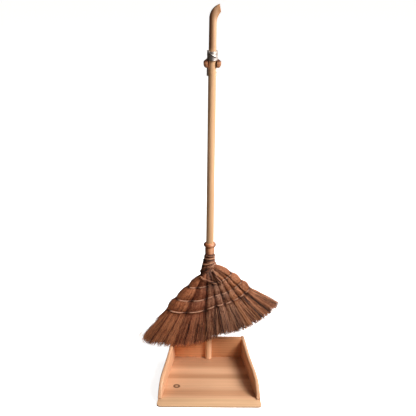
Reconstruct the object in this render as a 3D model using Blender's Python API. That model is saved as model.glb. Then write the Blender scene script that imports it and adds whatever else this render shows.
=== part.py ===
"""A long-handled palm-fibre broom that hangs on the upright pole of a wooden dustpan.

The pan stands on its floor board. A pole rises at the pan's back, and a wooden yoke at the pole's top
cradles the broom's stick. A steel wire band on the stick rests on the yoke and carries the broom.

Frame: +X to the right, the pan opens towards -Y, +Z up, in metres. The origin is the middle of the
floor board's underside.
"""

import math

import bmesh
import bpy
from mathutils import Matrix, Vector

# Clearances
GAP = 0.0003
FIT = 0.0004

# Dustpan
BOARD_DEPTH = 0.268
BOARD_FRONT_HALF = 0.1435
BOARD_BACK_HALF = 0.107
BOARD_THICK = 0.011
LIP_THICK = 0.0035
RAMP_DEPTH = 0.028
CORNER_RADIUS = 0.010
CORNER_STEPS = 5
WALL_THICK = 0.0101
WALL_EDGE_RADIUS = 0.0034
# How high the walls stand over the board's underside, from the back edge forwards
WALL_HEIGHTS = (
    (0.134, 0.0745),
    (0.095, 0.0690),
    (0.050, 0.0618),
    (0.010, 0.0590),
    (-0.030, 0.0588),
    (-0.058, 0.0572),
    (-0.080, 0.0510),
    (-0.095, 0.0395),
    (-0.104, 0.0265),
    (-0.110, 0.0140),
)
WALL_STATIONS = 22
WALL_CROWDING = 1.6
WALL_EDGE_SHARE = 0.45
BACK_THICK = 0.0155
BACK_HEIGHT = 0.0735

# Pole and yoke
POLE_RADIUS = 0.010
POLE_Y = 0.1155
POLE_TOP = 0.9060
# The pole's round top: how much narrower than the pole, and how far below its top
POLE_TOP_ROUND = ((0.0, 0.0030), (0.0010, 0.0010), (0.0035, 0.0))
YOKE_TOP = 0.9005
YOKE_THICK = 0.0190
YOKE_TOP_HALF = 0.0232
YOKE_FOOT_HALF = 0.0165
YOKE_REAR_RADIUS = 0.0160
YOKE_FRONT_REACH = 0.011
YOKE_SHOULDER_REACH = 0.001
YOKE_CORNER = 0.0060
YOKE_EDGE = 0.0028
YOKE_REAR_DRAW = 0.3
YOKE_STEPS = 5
MOUTH_WIDTH = 0.0235
MOUTH_SLACK = 0.0012
POLE_BAND_OUTER = 0.0160
POLE_BAND_TALL = 0.0275
POLE_BAND_TURNS = 5
# Each turn of wire shows as a rib: its depth and its flat part, as shares of its height
RIB_DEPTH = 0.28
RIB_FLAT = (0.3, 0.7)

# Broom stick: its radius falls evenly from the foot to the bend
STICK_FOOT_RADIUS = 0.0107
STICK_TOP_RADIUS = 0.0096
STICK_Y = POLE_Y - 0.030
TENON_RADIUS = 0.0070
TENON_END = 0.3300
BAND_OUTER = 0.0144
BAND_TALL = 0.0260
BAND_TURNS = 6
STICK_MIDDLE_Z = 0.62
STICK_SIDES = 24
CROOK_STEPS = 8
# The crook's outer side and its inner side are two arcs: where each starts, its radius and its turn
OUTER_START, OUTER_RADIUS, OUTER_TURN = 1.0077, 0.0383, math.radians(72.5)
INNER_START, INNER_RADIUS, INNER_TURN = 0.9944, 0.0457, math.radians(40.5)

# Socket, turned in wood, and the neck below it
SOCKET_TOP = 0.3945
SOCKET_FOOT = 0.3590
SOCKET_BORE_FOOT = 0.3660
SOCKET_RADIUS = 0.0131
SOCKET_NECK_Z = 0.3780
SOCKET_EDGE = 0.0010
BEAD_RADIUS = 0.0062
BEAD_CENTRE_RADIUS = 0.0114
PEG_Z = 0.3720
PEG_RADIUS = 0.0018
NECK_TOP_HALF = 0.0116
NECK_FOOT_CENTRE = Vector((-0.0045, 0.0, 0.3110))
NECK_FOOT_HALF = 0.0275
NECK_FOOT_DEEP = 0.0150
NECK_FOOT_TILT = math.radians(40)
NECK_STATIONS = 6
NECK_BORE_TOP = 0.37
NECK_SWELL_POWER = 2.2
NECK_LEAN_POWER = 1.5
WINDING_TURNS = 7
WINDING_THICK = 0.0022
# The shares of the neck where the winding starts and ends, and how thin it is between two turns
WINDING_SHARES = (0.03, 0.97)
WINDING_HOLLOW = 0.45

# Fan of fibre bundles: angles from straight down, positive towards +X, about the fan's centre
FAN_CENTRE = Vector((-0.003, 0.0, 0.352))
BUNDLE_EDGES = (-37.0, -20.5, -2.0, 8.5, 18.5, 28.0, 37.0, 45.5, 54.0)
TIE_RADII = (0.082, 0.120, 0.152)
FAN_RADIUS = 0.249
# The outermost bundles are drawn in by so many degrees, at each tie and at the ends
LOW_TUCKS = (5.0, 1.6, 1.4, 1.0)
HIGH_TUCKS = (-2.6, -2.4, -3.0, 0.0)
# The fibres are longer towards -X: by how much, and the angles where that starts and is full
LONG_SIDE = 0.33
LONG_SIDE_FROM = 8.0
LONG_SIDE_FULL = -36.0
# The line the bundles leave the neck along: its share of the neck's foot, and its drop below it
NECK_LINE_SHARE = 0.86
NECK_LINE_DROP = 0.0016
BOW = 0.06
PILLOW_DEEP = 0.0150
TIE_DEEP = 0.0100
ENDS_DEEP = 0.0110
TIE_GAP_HALF = 0.0016
WAIST_SHARE = 0.05
PILLOW_SHARES = (0.2, 0.5, 0.8)
END_SHARES = (0.25, 0.6, 1.0)
SWELL_POWER = 0.7
SWELL_RATE_BELOW_TIES = 5
ROUNDNESS = 0.6
TIE_WIDE = 0.0026
TIE_THICK = 0.0020
TIE_SHARES = (0.35, 0.65)

# Screws, countersunk
SCREW_HEAD = 0.0038
SCREW_SHANK = 0.0017
SCREW_LONG = 0.0240
SCREW_SINK = 0.0004
SCREW_RIM = 0.0004
SCREW_CONE = 0.0026
SCREW_POINT = 0.0050
SCREW_TIP = 0.0004
HOLE_OVERSHOOT = 0.0030
WALL_SCREW_YS = (0.085, -0.050)
BACK_SCREW_X = 0.060
POLE_BACK_SCREW_ZS = (0.027, 0.057)

WOOD_PALE = ((0.62, 0.36, 0.21), 0.5, 0.0)
WOOD_WARM = ((0.55, 0.27, 0.14), 0.5, 0.0)
STEEL = ((0.55, 0.54, 0.53), 0.3, 1.0)
FIBRE = ((0.18, 0.075, 0.04), 0.9, 0.0)
CORD = ((0.45, 0.26, 0.18), 0.85, 0.0)


def material(name, look):
    """A Principled material from a colour, a roughness and a metallic value."""
    colour, roughness, metallic = look
    made = bpy.data.materials.new(name)
    made.use_nodes = True
    shader = made.node_tree.nodes["Principled BSDF"]
    shader.inputs["Base Color"].default_value = (*colour, 1)
    shader.inputs["Roughness"].default_value = roughness
    shader.inputs["Metallic"].default_value = metallic
    return made


def add_object(name, mesh, look, place=None):
    """Links a mesh as a named object with its own material, smooth except at its edges."""
    bpy.context.scene.collection.objects.link(made := bpy.data.objects.new(name, mesh))
    mesh.materials.append(material(name, look))
    mesh.shade_smooth()
    mesh.set_sharp_from_angle(angle=math.radians(35))
    if place is not None:
        made.matrix_world = place
    return made


def mesh_from(name, shape):
    """A mesh from a bmesh, with its faces turned outwards."""
    bmesh.ops.recalc_face_normals(shape, faces=shape.faces)
    mesh = bpy.data.meshes.new(name)
    shape.to_mesh(mesh)
    shape.free()
    return mesh


def loft(name, rings):
    """A closed mesh through rings that hold the same number of points."""
    shape = bmesh.new()
    rows = [[shape.verts.new(point) for point in ring] for ring in rings]
    count = len(rows[0])
    for low, high in zip(rows, rows[1:]):
        for i in range(count):
            j = (i + 1) % count
            shape.faces.new((low[i], low[j], high[j], high[i]))
    shape.faces.new(rows[0])
    shape.faces.new(rows[-1])
    return mesh_from(name, shape)


def circle(radius, z, sides, centre=(0.0, 0.0)):
    """Points of a level circle."""
    turns = (2 * math.pi * i / sides for i in range(sides))
    return [Vector((centre[0] + radius * math.cos(t), centre[1] + radius * math.sin(t), z)) for t in turns]


def turned(name, profile, sides=24):
    """A solid turned about Z from (radius, z) pairs that run up its outer side."""
    return loft(name, [circle(radius, z, sides) for radius, z in profile])


def sleeve(name, profile, sides=24):
    """A turned ring: the profile's (radius, z) pairs go once round its closed section."""
    shape = bmesh.new()
    rows = [[shape.verts.new(point) for point in circle(radius, z, sides)] for radius, z in profile]
    for low, high in zip(rows, rows[1:] + rows[:1]):
        for i in range(sides):
            j = (i + 1) % sides
            shape.faces.new((low[i], low[j], high[j], high[i]))
    return mesh_from(name, shape)


def cutter(name, mesh, place=None):
    """An object that only cuts."""
    made = bpy.data.objects.new(name, mesh)
    bpy.context.scene.collection.objects.link(made)
    made.hide_render = True
    made.display_type = "WIRE"
    if place is not None:
        made.matrix_world = place
    return made


def cut(target, tool):
    """Takes one object out of another."""
    change = target.modifiers.new(tool.name, "BOOLEAN")
    change.operation = "DIFFERENCE"
    change.solver = "EXACT"
    change.object = tool


def smooth_through(points, at):
    """The height at a place along (place, height) pairs, on a curve through them."""
    ordered = sorted(points)
    last = len(ordered) - 1
    k = max(0, min(last - 1, sum(1 for place, _ in ordered[1:-1] if place <= at)))
    (x0, y0), (x1, y1) = ordered[k], ordered[k + 1]

    def slope(i):
        low, high = ordered[max(i - 1, 0)], ordered[min(i + 1, last)]
        return (high[1] - low[1]) / (high[0] - low[0])

    wide = x1 - x0
    t = (at - x0) / wide
    rise0, rise1 = slope(k) * wide, slope(k + 1) * wide
    return (
        (2 * t**3 - 3 * t**2 + 1) * y0
        + (t**3 - 2 * t**2 + t) * rise0
        + (3 * t**2 - 2 * t**3) * y1
        + (t**3 - t**2) * rise1
    )


# ---- Screws ----


def screw_profile(grow=0.0, overshoot=0.0):
    """(radius, z) pairs of a screw that points up from its head, grown, and longer before its head."""
    return (
        (SCREW_HEAD + grow, SCREW_SINK - overshoot),
        (SCREW_HEAD + grow, SCREW_SINK + SCREW_RIM),
        (SCREW_SHANK + grow, SCREW_SINK + SCREW_CONE + grow),
        (SCREW_SHANK + grow, SCREW_LONG - SCREW_POINT + grow),
        (SCREW_TIP + grow, SCREW_LONG + grow),
    )


def add_screw(name, place, *pieces):
    """A countersunk screw, pointing along its own +Z, and its hole in the pieces it goes through."""
    add_object(name, turned(name, screw_profile(), 12), STEEL, place)
    hole = cutter(name + "_hole", turned(name + "_hole", screw_profile(GAP, HOLE_OVERSHOOT), 12), place)
    for piece in pieces:
        cut(piece, hole)


# ---- Dustpan ----


def board_half(y):
    """Half the pan's width at a place from front to back."""
    along = (y + BOARD_DEPTH / 2) / BOARD_DEPTH
    return BOARD_FRONT_HALF + (BOARD_BACK_HALF - BOARD_FRONT_HALF) * along


def board_outline():
    """The board's outline from above, with round front corners."""
    front, back = -BOARD_DEPTH / 2, BOARD_DEPTH / 2
    points = [Vector((BOARD_BACK_HALF, back)), Vector((-BOARD_BACK_HALF, back))]
    lean = math.atan2(BOARD_FRONT_HALF - BOARD_BACK_HALF, BOARD_DEPTH)
    reach = CORNER_RADIUS * math.tan((math.pi / 2 + lean) / 2)
    centre = Vector((-BOARD_FRONT_HALF + reach, front + CORNER_RADIUS))
    first, last = math.pi + lean, 1.5 * math.pi
    for k in range(CORNER_STEPS + 1):
        turn = first + (last - first) * k / CORNER_STEPS
        points.append(centre + CORNER_RADIUS * Vector((math.cos(turn), math.sin(turn))))
    points += [Vector((-p.x, p.y)) for p in reversed(points[2:])]
    return points


def make_board():
    """The floor board, with its front planed down to a thin lip."""
    outline = board_outline()
    rings = [[Vector((p.x, p.y, z)) for p in outline] for z in (0.0, BOARD_THICK)]
    board = add_object("floor_board", loft("floor_board", rings), WOOD_PALE)
    front = -BOARD_DEPTH / 2
    fall = BOARD_THICK - LIP_THICK
    over = RAMP_DEPTH / 4
    wedge = [
        (front - over, LIP_THICK - fall * over / RAMP_DEPTH),
        (front + RAMP_DEPTH + over, BOARD_THICK + fall * over / RAMP_DEPTH),
        (front + RAMP_DEPTH + over, 2 * BOARD_THICK),
        (front - over, 2 * BOARD_THICK),
    ]
    wide = 1.2 * BOARD_FRONT_HALF
    sides = [[Vector((x, y, z)) for y, z in wedge] for x in (-wide, wide)]
    cut(board, cutter("ramp", loft("ramp", sides)))
    return board


def wall_section(y, side):
    """A side wall's section at a place from front to back, round at its upper edges."""
    outer = board_half(y)
    inner = outer - WALL_THICK
    foot = BOARD_THICK + GAP
    top = smooth_through(WALL_HEIGHTS, y)
    radius = min(WALL_EDGE_RADIUS, WALL_EDGE_SHARE * (top - foot))
    points = [(outer, foot)]
    for centre, first in ((outer - radius, 0), (inner + radius, 90)):
        for degrees in (first, first + 30, first + 60, first + 90):
            turn = math.radians(degrees)
            points.append((centre + radius * math.cos(turn), top - radius + radius * math.sin(turn)))
    points.append((inner, foot))
    return [Vector((side * x, y, z)) for x, z in points]


def make_wall(name, side):
    """A side wall, whose top falls in a long curve and then rounds down to the board."""
    back, front = WALL_HEIGHTS[0][0], WALL_HEIGHTS[-1][0]
    places = []
    for k in range(WALL_STATIONS + 1):
        # The stations draw together towards the round front end.
        share = 1 - (1 - k / WALL_STATIONS) ** WALL_CROWDING
        places.append(back + (front - back) * share)
    return add_object(name, loft(name, [wall_section(y, side) for y in places]), WOOD_PALE)


def make_back():
    """The back panel, between the side walls, round at its top edges."""
    foot = BOARD_THICK + GAP
    rear = BOARD_DEPTH / 2
    face = rear - BACK_THICK
    section = [(face, foot)]
    for centre, first in ((face + WALL_EDGE_RADIUS, 180), (rear - WALL_EDGE_RADIUS, 90)):
        for step in range(4):
            turn = math.radians(first - 30 * step)
            section.append(
                (centre + WALL_EDGE_RADIUS * math.cos(turn),
                 BACK_HEIGHT - WALL_EDGE_RADIUS + WALL_EDGE_RADIUS * math.sin(turn))
            )
    section.append((rear, foot))
    ends = []
    for side in (-1, 1):
        ends.append([Vector((side * (board_half(y) - WALL_THICK - GAP), y, z)) for y, z in section])
    return add_object("back_panel", loft("back_panel", ends), WOOD_WARM)


def make_pan():
    """The board, the three walls and the screws that hold them."""
    board = make_board()
    walls = {side: make_wall(name, side) for name, side in (("left_side_wall", -1), ("right_side_wall", 1))}
    back = make_back()
    for word, side in (("left", -1), ("right", 1)):
        for number, y in enumerate(WALL_SCREW_YS, 1):
            x = side * (board_half(y) - WALL_THICK / 2)
            add_screw(f"{word}_wall_screw_{number}", Matrix.Translation((x, y, 0)), board, walls[side])
        y = BOARD_DEPTH / 2 - BACK_THICK / 2
        add_screw(f"back_panel_screw_{word}", Matrix.Translation((side * BACK_SCREW_X, y, 0)), board, back)
    return board, back


# ---- Pole and yoke ----


def make_pole(board, back):
    """The pole, let into a groove in the back panel and held by a screw below and two behind."""
    profile = [(POLE_RADIUS, BOARD_THICK + GAP)]
    profile += [(POLE_RADIUS - narrower, POLE_TOP - below) for narrower, below in POLE_TOP_ROUND]
    place = Matrix.Translation((0, POLE_Y, 0))
    pole = add_object("pan_pole", turned("pan_pole", profile, 28), WOOD_PALE, place)
    groove = turned("pole_groove", ((POLE_RADIUS + FIT, 0.0), (POLE_RADIUS + FIT, 2 * BACK_HEIGHT)), 28)
    cut(back, cutter("pole_groove", groove, place))
    add_screw("pole_foot_screw", place, board, pole)
    forwards = Matrix.Rotation(math.pi / 2, 4, "X")
    for number, z in enumerate(POLE_BACK_SCREW_ZS, 1):
        at = Matrix.Translation((0, BOARD_DEPTH / 2, z)) @ forwards
        add_screw(f"pole_back_screw_{number}", at, back, pole)
    return pole


def yoke_ring(z, half, shrink):
    """The yoke's outline from above: round behind the pole, with two prongs that reach forward."""
    rear = YOKE_REAR_RADIUS - YOKE_REAR_DRAW * (YOKE_TOP_HALF - half)
    points = [Vector((rear * math.cos(turn), POLE_Y + rear * math.sin(turn), z))
              for turn in (math.pi * k / 12 for k in range(13))]
    front = STICK_Y - YOKE_FRONT_REACH + shrink
    shoulder = front + YOKE_CORNER + YOKE_SHOULDER_REACH
    points.append(Vector((-half, shoulder, z)))
    for side, first in ((-1, 180), (1, 270)):
        centre = Vector((side * (half - YOKE_CORNER), front + YOKE_CORNER, z))
        for step in range(4):
            turn = math.radians(first + 30 * step)
            points.append(centre + YOKE_CORNER * Vector((math.cos(turn), math.sin(turn), 0)))
    points.append(Vector((half, shoulder, z)))
    return points


def make_yoke(pole):
    """The wooden yoke: widest near its top, drawn in to the pole below, open to the front."""
    rings = []
    for k in range(YOKE_STEPS + 1):
        turn = math.radians(90 * k / YOKE_STEPS)
        half = YOKE_FOOT_HALF + (YOKE_TOP_HALF - YOKE_FOOT_HALF) * math.sin(turn)
        shrink = YOKE_CORNER * (1 - math.sin(turn))
        z = YOKE_TOP - YOKE_THICK + (YOKE_THICK - 2 * YOKE_EDGE) * (1 - math.cos(turn))
        rings.append(yoke_ring(z, half, shrink))
    for degrees in (0, 30, 60, 90):
        turn = math.radians(degrees)
        drawn = YOKE_EDGE * (1 - math.cos(turn))
        z = YOKE_TOP - YOKE_EDGE * (1 - math.sin(turn))
        rings.append(yoke_ring(z, YOKE_TOP_HALF - drawn, drawn))
    yoke = add_object("broom_yoke", loft("broom_yoke", rings), WOOD_WARM)
    low, high = YOKE_TOP - 2 * YOKE_THICK, YOKE_TOP + YOKE_THICK
    bore = [circle(POLE_RADIUS + FIT, z, 28, (0, POLE_Y)) for z in (low, high)]
    cut(yoke, cutter("pole_bore", loft("pole_bore", bore)))
    half = MOUTH_WIDTH / 2
    seat = STICK_Y + stick_radius(YOKE_TOP) + MOUTH_SLACK - half
    ahead = STICK_Y - 4 * YOKE_FRONT_REACH
    mouth = []
    for z in (low, high):
        curve = [Vector((half * math.cos(turn), seat + half * math.sin(turn), z))
                 for turn in (math.pi * k / 12 for k in range(13))]
        mouth.append(curve + [Vector((-half, ahead, z)), Vector((half, ahead, z))])
    cut(yoke, cutter("mouth", loft("mouth", mouth)))
    middle = YOKE_TOP - YOKE_THICK / 2
    rear = POLE_Y + YOKE_REAR_RADIUS - SCREW_SINK
    at = Matrix.Translation((0, rear, middle)) @ Matrix.Rotation(math.pi / 2, 4, "X")
    add_screw("yoke_screw", at, yoke, pole)


def band_profile(inner, outer, low, high, turns):
    """The closed section of a band of wound wire: flat inside, one round rib for each turn outside."""
    points = [(inner, high), (inner, low)]
    pitch = (high - low) / turns
    bulge = pitch * RIB_DEPTH
    points.append((outer - bulge, low))
    for k in range(turns):
        points += [(outer, low + pitch * (k + share)) for share in RIB_FLAT]
        points.append((outer - bulge, low + pitch * (k + 1)))
    return points


def make_bands():
    """The steel wire bands: one holds the yoke on the pole, the other carries the broom on the yoke."""
    high = YOKE_TOP - YOKE_THICK - GAP
    profile = band_profile(POLE_RADIUS + FIT, POLE_BAND_OUTER, high - POLE_BAND_TALL, high, POLE_BAND_TURNS)
    place = Matrix.Translation((0, POLE_Y, 0))
    add_object("pole_wire_band", sleeve("pole_wire_band", profile, 16), STEEL, place)
    low = YOKE_TOP + GAP
    profile = band_profile(stick_radius(low) + FIT, BAND_OUTER, low, low + BAND_TALL, BAND_TURNS)
    place = Matrix.Translation((0, STICK_Y, 0))
    add_object("stick_wire_band", sleeve("stick_wire_band", profile, 16), STEEL, place)


# ---- Broom ----


def stick_radius(z):
    """The stick's radius at a height."""
    foot = SOCKET_BORE_FOOT
    share = max(0.0, min(1.0, (z - foot) / (INNER_START - foot)))
    return STICK_FOOT_RADIUS + (STICK_TOP_RADIUS - STICK_FOOT_RADIUS) * share


def crook_ring(share):
    """The crook's section between its two arcs, at a share of the way along them."""
    ends = []
    for side, start, radius, turn in (
        (-1, OUTER_START, OUTER_RADIUS, OUTER_TURN),
        (1, INNER_START, INNER_RADIUS, INNER_TURN),
    ):
        x = side * STICK_TOP_RADIUS + radius * (1 - math.cos(share * turn))
        ends.append(Vector((x, 0, start + radius * math.sin(share * turn))))
    outer, inner = ends
    middle, half = (outer + inner) / 2, (inner - outer) / 2
    turns = (2 * math.pi * i / STICK_SIDES for i in range(STICK_SIDES))
    return [middle + half * math.cos(t) + Vector((0, STICK_TOP_RADIUS * math.sin(t), 0)) for t in turns]


def make_stick():
    """The stick: a tenon at its foot, a straight length, and a crook cut off nearly upright."""
    shoulder = SOCKET_BORE_FOOT + GAP
    rings = [circle(TENON_RADIUS, z, STICK_SIDES) for z in (TENON_END, shoulder - GAP / 2)]
    for z in (shoulder, STICK_MIDDLE_Z, INNER_START - STICK_TOP_RADIUS):
        rings.append(circle(stick_radius(z), z, STICK_SIDES))
    rings += [crook_ring(k / CROOK_STEPS) for k in range(CROOK_STEPS + 1)]
    place = Matrix.Translation((0, STICK_Y, 0))
    return add_object("broom_stick", loft("broom_stick", rings), WOOD_PALE, place)


def make_socket(stick):
    """The turned socket, with a round bead at its mouth, and the peg that pins the tenon in it."""
    bore, small = STICK_FOOT_RADIUS + FIT, TENON_RADIUS + FIT
    bead_z = SOCKET_TOP - BEAD_RADIUS
    profile = [
        (small, SOCKET_BORE_FOOT),
        (small, SOCKET_FOOT),
        (SOCKET_RADIUS - SOCKET_EDGE, SOCKET_FOOT),
        (SOCKET_RADIUS, SOCKET_FOOT + SOCKET_EDGE),
        (SOCKET_RADIUS, SOCKET_NECK_Z),
    ]
    for degrees in range(-60, 100, 30):
        turn = math.radians(degrees)
        radius = BEAD_CENTRE_RADIUS + BEAD_RADIUS * math.cos(turn)
        profile.append((radius, bead_z + BEAD_RADIUS * math.sin(turn)))
    profile += [(bore, SOCKET_TOP - SOCKET_EDGE), (bore, SOCKET_BORE_FOOT)]
    place = Matrix.Translation((0, STICK_Y, 0))
    socket = add_object("stick_socket", sleeve("stick_socket", profile, 24), WOOD_WARM, place)
    across = Matrix.Translation((0, STICK_Y, PEG_Z)) @ Matrix.Rotation(math.pi / 2, 4, "Y")
    half = SOCKET_RADIUS - GAP
    peg = turned("socket_peg", ((PEG_RADIUS, -half), (PEG_RADIUS, half)), 10)
    add_object("socket_peg", peg, WOOD_WARM, across)
    half, wide = 2 * SOCKET_RADIUS, PEG_RADIUS + GAP
    hole = cutter("peg_hole", turned("peg_hole", ((wide, -half), (wide, half)), 10), across)
    cut(socket, hole)
    cut(stick, hole)


def neck_ring(share, grow, sides=16):
    """The neck's section at a share of the way down: round at the top, tilted and drawn wide below."""
    top = Vector((0, 0, SOCKET_FOOT - GAP - 0.0002))
    centre = top.lerp(NECK_FOOT_CENTRE, share)
    swell = share**NECK_SWELL_POWER
    half = NECK_TOP_HALF + (NECK_FOOT_HALF - NECK_TOP_HALF) * swell + grow
    deep = NECK_TOP_HALF + (NECK_FOOT_DEEP - NECK_TOP_HALF) * swell + grow
    lean = Matrix.Rotation(-NECK_FOOT_TILT * share**NECK_LEAN_POWER, 3, "Y")
    turns = (2 * math.pi * i / sides for i in range(sides))
    return [centre + lean @ Vector((half * math.cos(t), deep * math.sin(t), 0)) for t in turns]


def make_neck():
    """The gathered fibres round the tenon, and the cord wound round them."""
    place = Matrix.Translation((0, STICK_Y, 0))
    core = loft("neck_fibres", [neck_ring(k / NECK_STATIONS, 0) for k in range(NECK_STATIONS + 1)])
    core = add_object("neck_fibres", core, FIBRE, place)
    bore = ((TENON_RADIUS + FIT, TENON_END - FIT), (TENON_RADIUS + FIT, NECK_BORE_TOP))
    bore = turned("neck_bore", bore, 24)
    cut(core, cutter("neck_bore", bore, place))
    first, last = WINDING_SHARES
    outside = []
    for k in range(WINDING_TURNS):
        for part, grow in ((0, WINDING_HOLLOW), (1 / 3, 1), (2 / 3, 1)):
            share = first + (last - first) * (k + part) / WINDING_TURNS
            outside.append((share, FIT + WINDING_THICK * grow))
    outside.append((last, FIT + WINDING_THICK * WINDING_HOLLOW))
    inside = [(first + (last - first) * k / 4, FIT) for k in range(4, -1, -1)]
    shape = bmesh.new()
    rows = [[shape.verts.new(p) for p in neck_ring(share, grow)] for share, grow in outside + inside]
    for low, high in zip(rows, rows[1:] + rows[:1]):
        for i in range(len(low)):
            j = (i + 1) % len(low)
            shape.faces.new((low[i], low[j], high[j], high[i]))
    add_object("neck_winding", mesh_from("neck_winding", shape), CORD, place)


def fan_radius(base, degrees):
    """A row's distance from the fan's centre, longer on the -X side."""
    share = (LONG_SIDE_FROM - degrees) / (LONG_SIDE_FROM - LONG_SIDE_FULL)
    return base * (1 + LONG_SIDE * max(0.0, min(1.0, share)))


def neck_line(share):
    """A place on the line along the neck's foot, 0 at its -X end and 1 at its +X end."""
    lean = Matrix.Rotation(-NECK_FOOT_TILT, 3, "Y")
    reach = NECK_LINE_SHARE * NECK_FOOT_HALF * (2 * share - 1)
    return NECK_FOOT_CENTRE + lean @ Vector((reach, 0, -NECK_LINE_DROP))


def between(values, row):
    """The value at a row, from values at rows 1, 2 and on, level outside them."""
    place = max(0.0, min(len(values) - 1.0, row - 1))
    low = min(int(place), len(values) - 2)
    return values[low] + (values[low + 1] - values[low]) * (place - low)


def fan_point(degrees, row):
    """A place in the fan's middle plane: row 0 at the neck, 1 to 3 at the ties, 4 at the fibres' ends."""
    along = max(0.0, min(1.0, (degrees - BUNDLE_EDGES[0]) / (BUNDLE_EDGES[-1] - BUNDLE_EDGES[0])))
    side = 2 * along - 1
    turn = math.radians(degrees + between(LOW_TUCKS if side < 0 else HIGH_TUCKS, row) * side**2)
    ray = Vector((math.sin(turn), 0, -math.cos(turn)))
    radii = (*TIE_RADII, FAN_RADIUS)
    if row >= 1:
        return FAN_CENTRE + ray * fan_radius(between(radii, row), degrees)
    start = neck_line(along)
    first = FAN_CENTRE + ray * fan_radius(radii[0], degrees)
    # The fibres leave the neck downwards and bend out to their own direction.
    bow = Vector((BOW * (first.x - start.x), 0, 0)) * math.sin(math.pi * row)
    return start.lerp(first, row) + bow


def bundle_swell(row):
    """How full a bundle is, from 0 in the waist at each tie to 1 between the ties."""
    last = len(TIE_RADII)
    if row >= last:
        return max(0.0, min(1.0, (row - last - WAIST_SHARE) * SWELL_RATE_BELOW_TIES))
    share = (row % 1 - WAIST_SHARE) / (1 - 2 * WAIST_SHARE)
    return math.sin(math.pi * max(0.0, min(1.0, share))) ** SWELL_POWER


def bundle_ring(number, row, sides=8):
    """A bundle's section, a rounded rectangle across the fan, thin at the ties and full between them."""
    low, high = BUNDLE_EDGES[number], BUNDLE_EDGES[number + 1]
    left, right = fan_point(low, row), fan_point(high, row)
    centre = (left + right) / 2
    across = right - left
    swell = bundle_swell(row)
    half = across.length / 2 - GAP - TIE_GAP_HALF * (1 - swell)
    full = PILLOW_DEEP if row < 3 else ENDS_DEEP
    deep = TIE_DEEP + (full - TIE_DEEP) * swell
    across.normalize()
    points = []
    for i in range(sides):
        turn = 2 * math.pi * (i + 0.5) / sides
        c, s = math.cos(turn), math.sin(turn)
        x = math.copysign(abs(c) ** ROUNDNESS, c)
        y = math.copysign(abs(s) ** ROUNDNESS, s)
        points.append(centre + across * (half * x) + Vector((0, deep * y, 0)))
    return points


def make_bundles():
    """The fibre bundles, side by side, each with its own solid."""
    last = len(TIE_RADII)
    rows = [k + share for k in range(last) for share in (WAIST_SHARE, *PILLOW_SHARES, 1 - WAIST_SHARE)]
    rows = [0.0, *rows, *(last + share for share in (WAIST_SHARE, *END_SHARES))]
    place = Matrix.Translation((0, STICK_Y, 0))
    for number in range(len(BUNDLE_EDGES) - 1):
        name = f"fibre_bundle_{number + 1}"
        mesh = loft(name, [bundle_ring(number, row) for row in rows])
        add_object(name, mesh, FIBRE, place)


def make_tie(row):
    """A row of stitching: a run in front of the bundles, a run behind, and a stitch between each two."""
    columns = []
    for number in range(len(BUNDLE_EDGES) - 1):
        low, high = BUNDLE_EDGES[number], BUNDLE_EDGES[number + 1]
        left, right = fan_point(low, row), fan_point(high, row)
        across = (right - left).normalized()
        edge = TIE_GAP_HALF - FIT
        first = left - across * TIE_THICK if number == 0 else left - across * edge
        columns += [(first, True), (left + across * edge, False)]
        columns += [(left.lerp(right, share), False) for share in TIE_SHARES]
        if number == len(BUNDLE_EDGES) - 2:
            columns += [(right - across * edge, True), (right + across * TIE_THICK, False)]
    inner, outer = TIE_DEEP + FIT, TIE_DEEP + FIT + TIE_THICK
    depths = (-outer, -inner, inner, outer)
    shape = bmesh.new()
    sheets = []
    for lift in (-TIE_WIDE / 2, TIE_WIDE / 2):
        sheet = []
        for point, _ in columns:
            out = (point - FAN_CENTRE).normalized() * lift
            sheet.append([shape.verts.new(point + out + Vector((0, depth, 0))) for depth in depths])
        sheets.append(sheet)
    solid = {}
    for i, (_, stitch) in enumerate(columns[:-1]):
        for j in range(3):
            solid[i, j] = stitch or j != 1
    for (i, j), full in solid.items():
        if not full:
            continue
        for sheet in sheets:
            shape.faces.new((sheet[i][j], sheet[i + 1][j], sheet[i + 1][j + 1], sheet[i][j + 1]))
        for a, b, beside in (
            ((i, j), (i + 1, j), (i, j - 1)),
            ((i, j + 1), (i + 1, j + 1), (i, j + 1)),
            ((i, j), (i, j + 1), (i - 1, j)),
            ((i + 1, j), (i + 1, j + 1), (i + 1, j)),
        ):
            if not solid.get(beside, False):
                low, high = sheets
                shape.faces.new((low[a[0]][a[1]], low[b[0]][b[1]], high[b[0]][b[1]], high[a[0]][a[1]]))
    name = f"tie_row_{row}"
    add_object(name, mesh_from(name, shape), CORD, Matrix.Translation((0, STICK_Y, 0)))


def main():
    """Clears the scene and builds the pan, the pole and the broom."""
    for old in list(bpy.data.objects):
        bpy.data.objects.remove(old, do_unlink=True)
    board, back = make_pan()
    pole = make_pole(board, back)
    make_yoke(pole)
    make_bands()
    stick = make_stick()
    make_socket(stick)
    make_neck()
    make_bundles()
    for row in (1, 2, 3):
        make_tie(row)


main()
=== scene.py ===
"""A palm-fibre broom that hangs on the pole of its wooden dustpan, dressed for a studio view.

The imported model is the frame. Every piece is made in the frame's own metres, with +Z up, and rides on
the frame's body "pan" or "broom". Names that end in _deg hold degrees.
"""

import logging
import math
from dataclasses import dataclass
from enum import Enum

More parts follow.
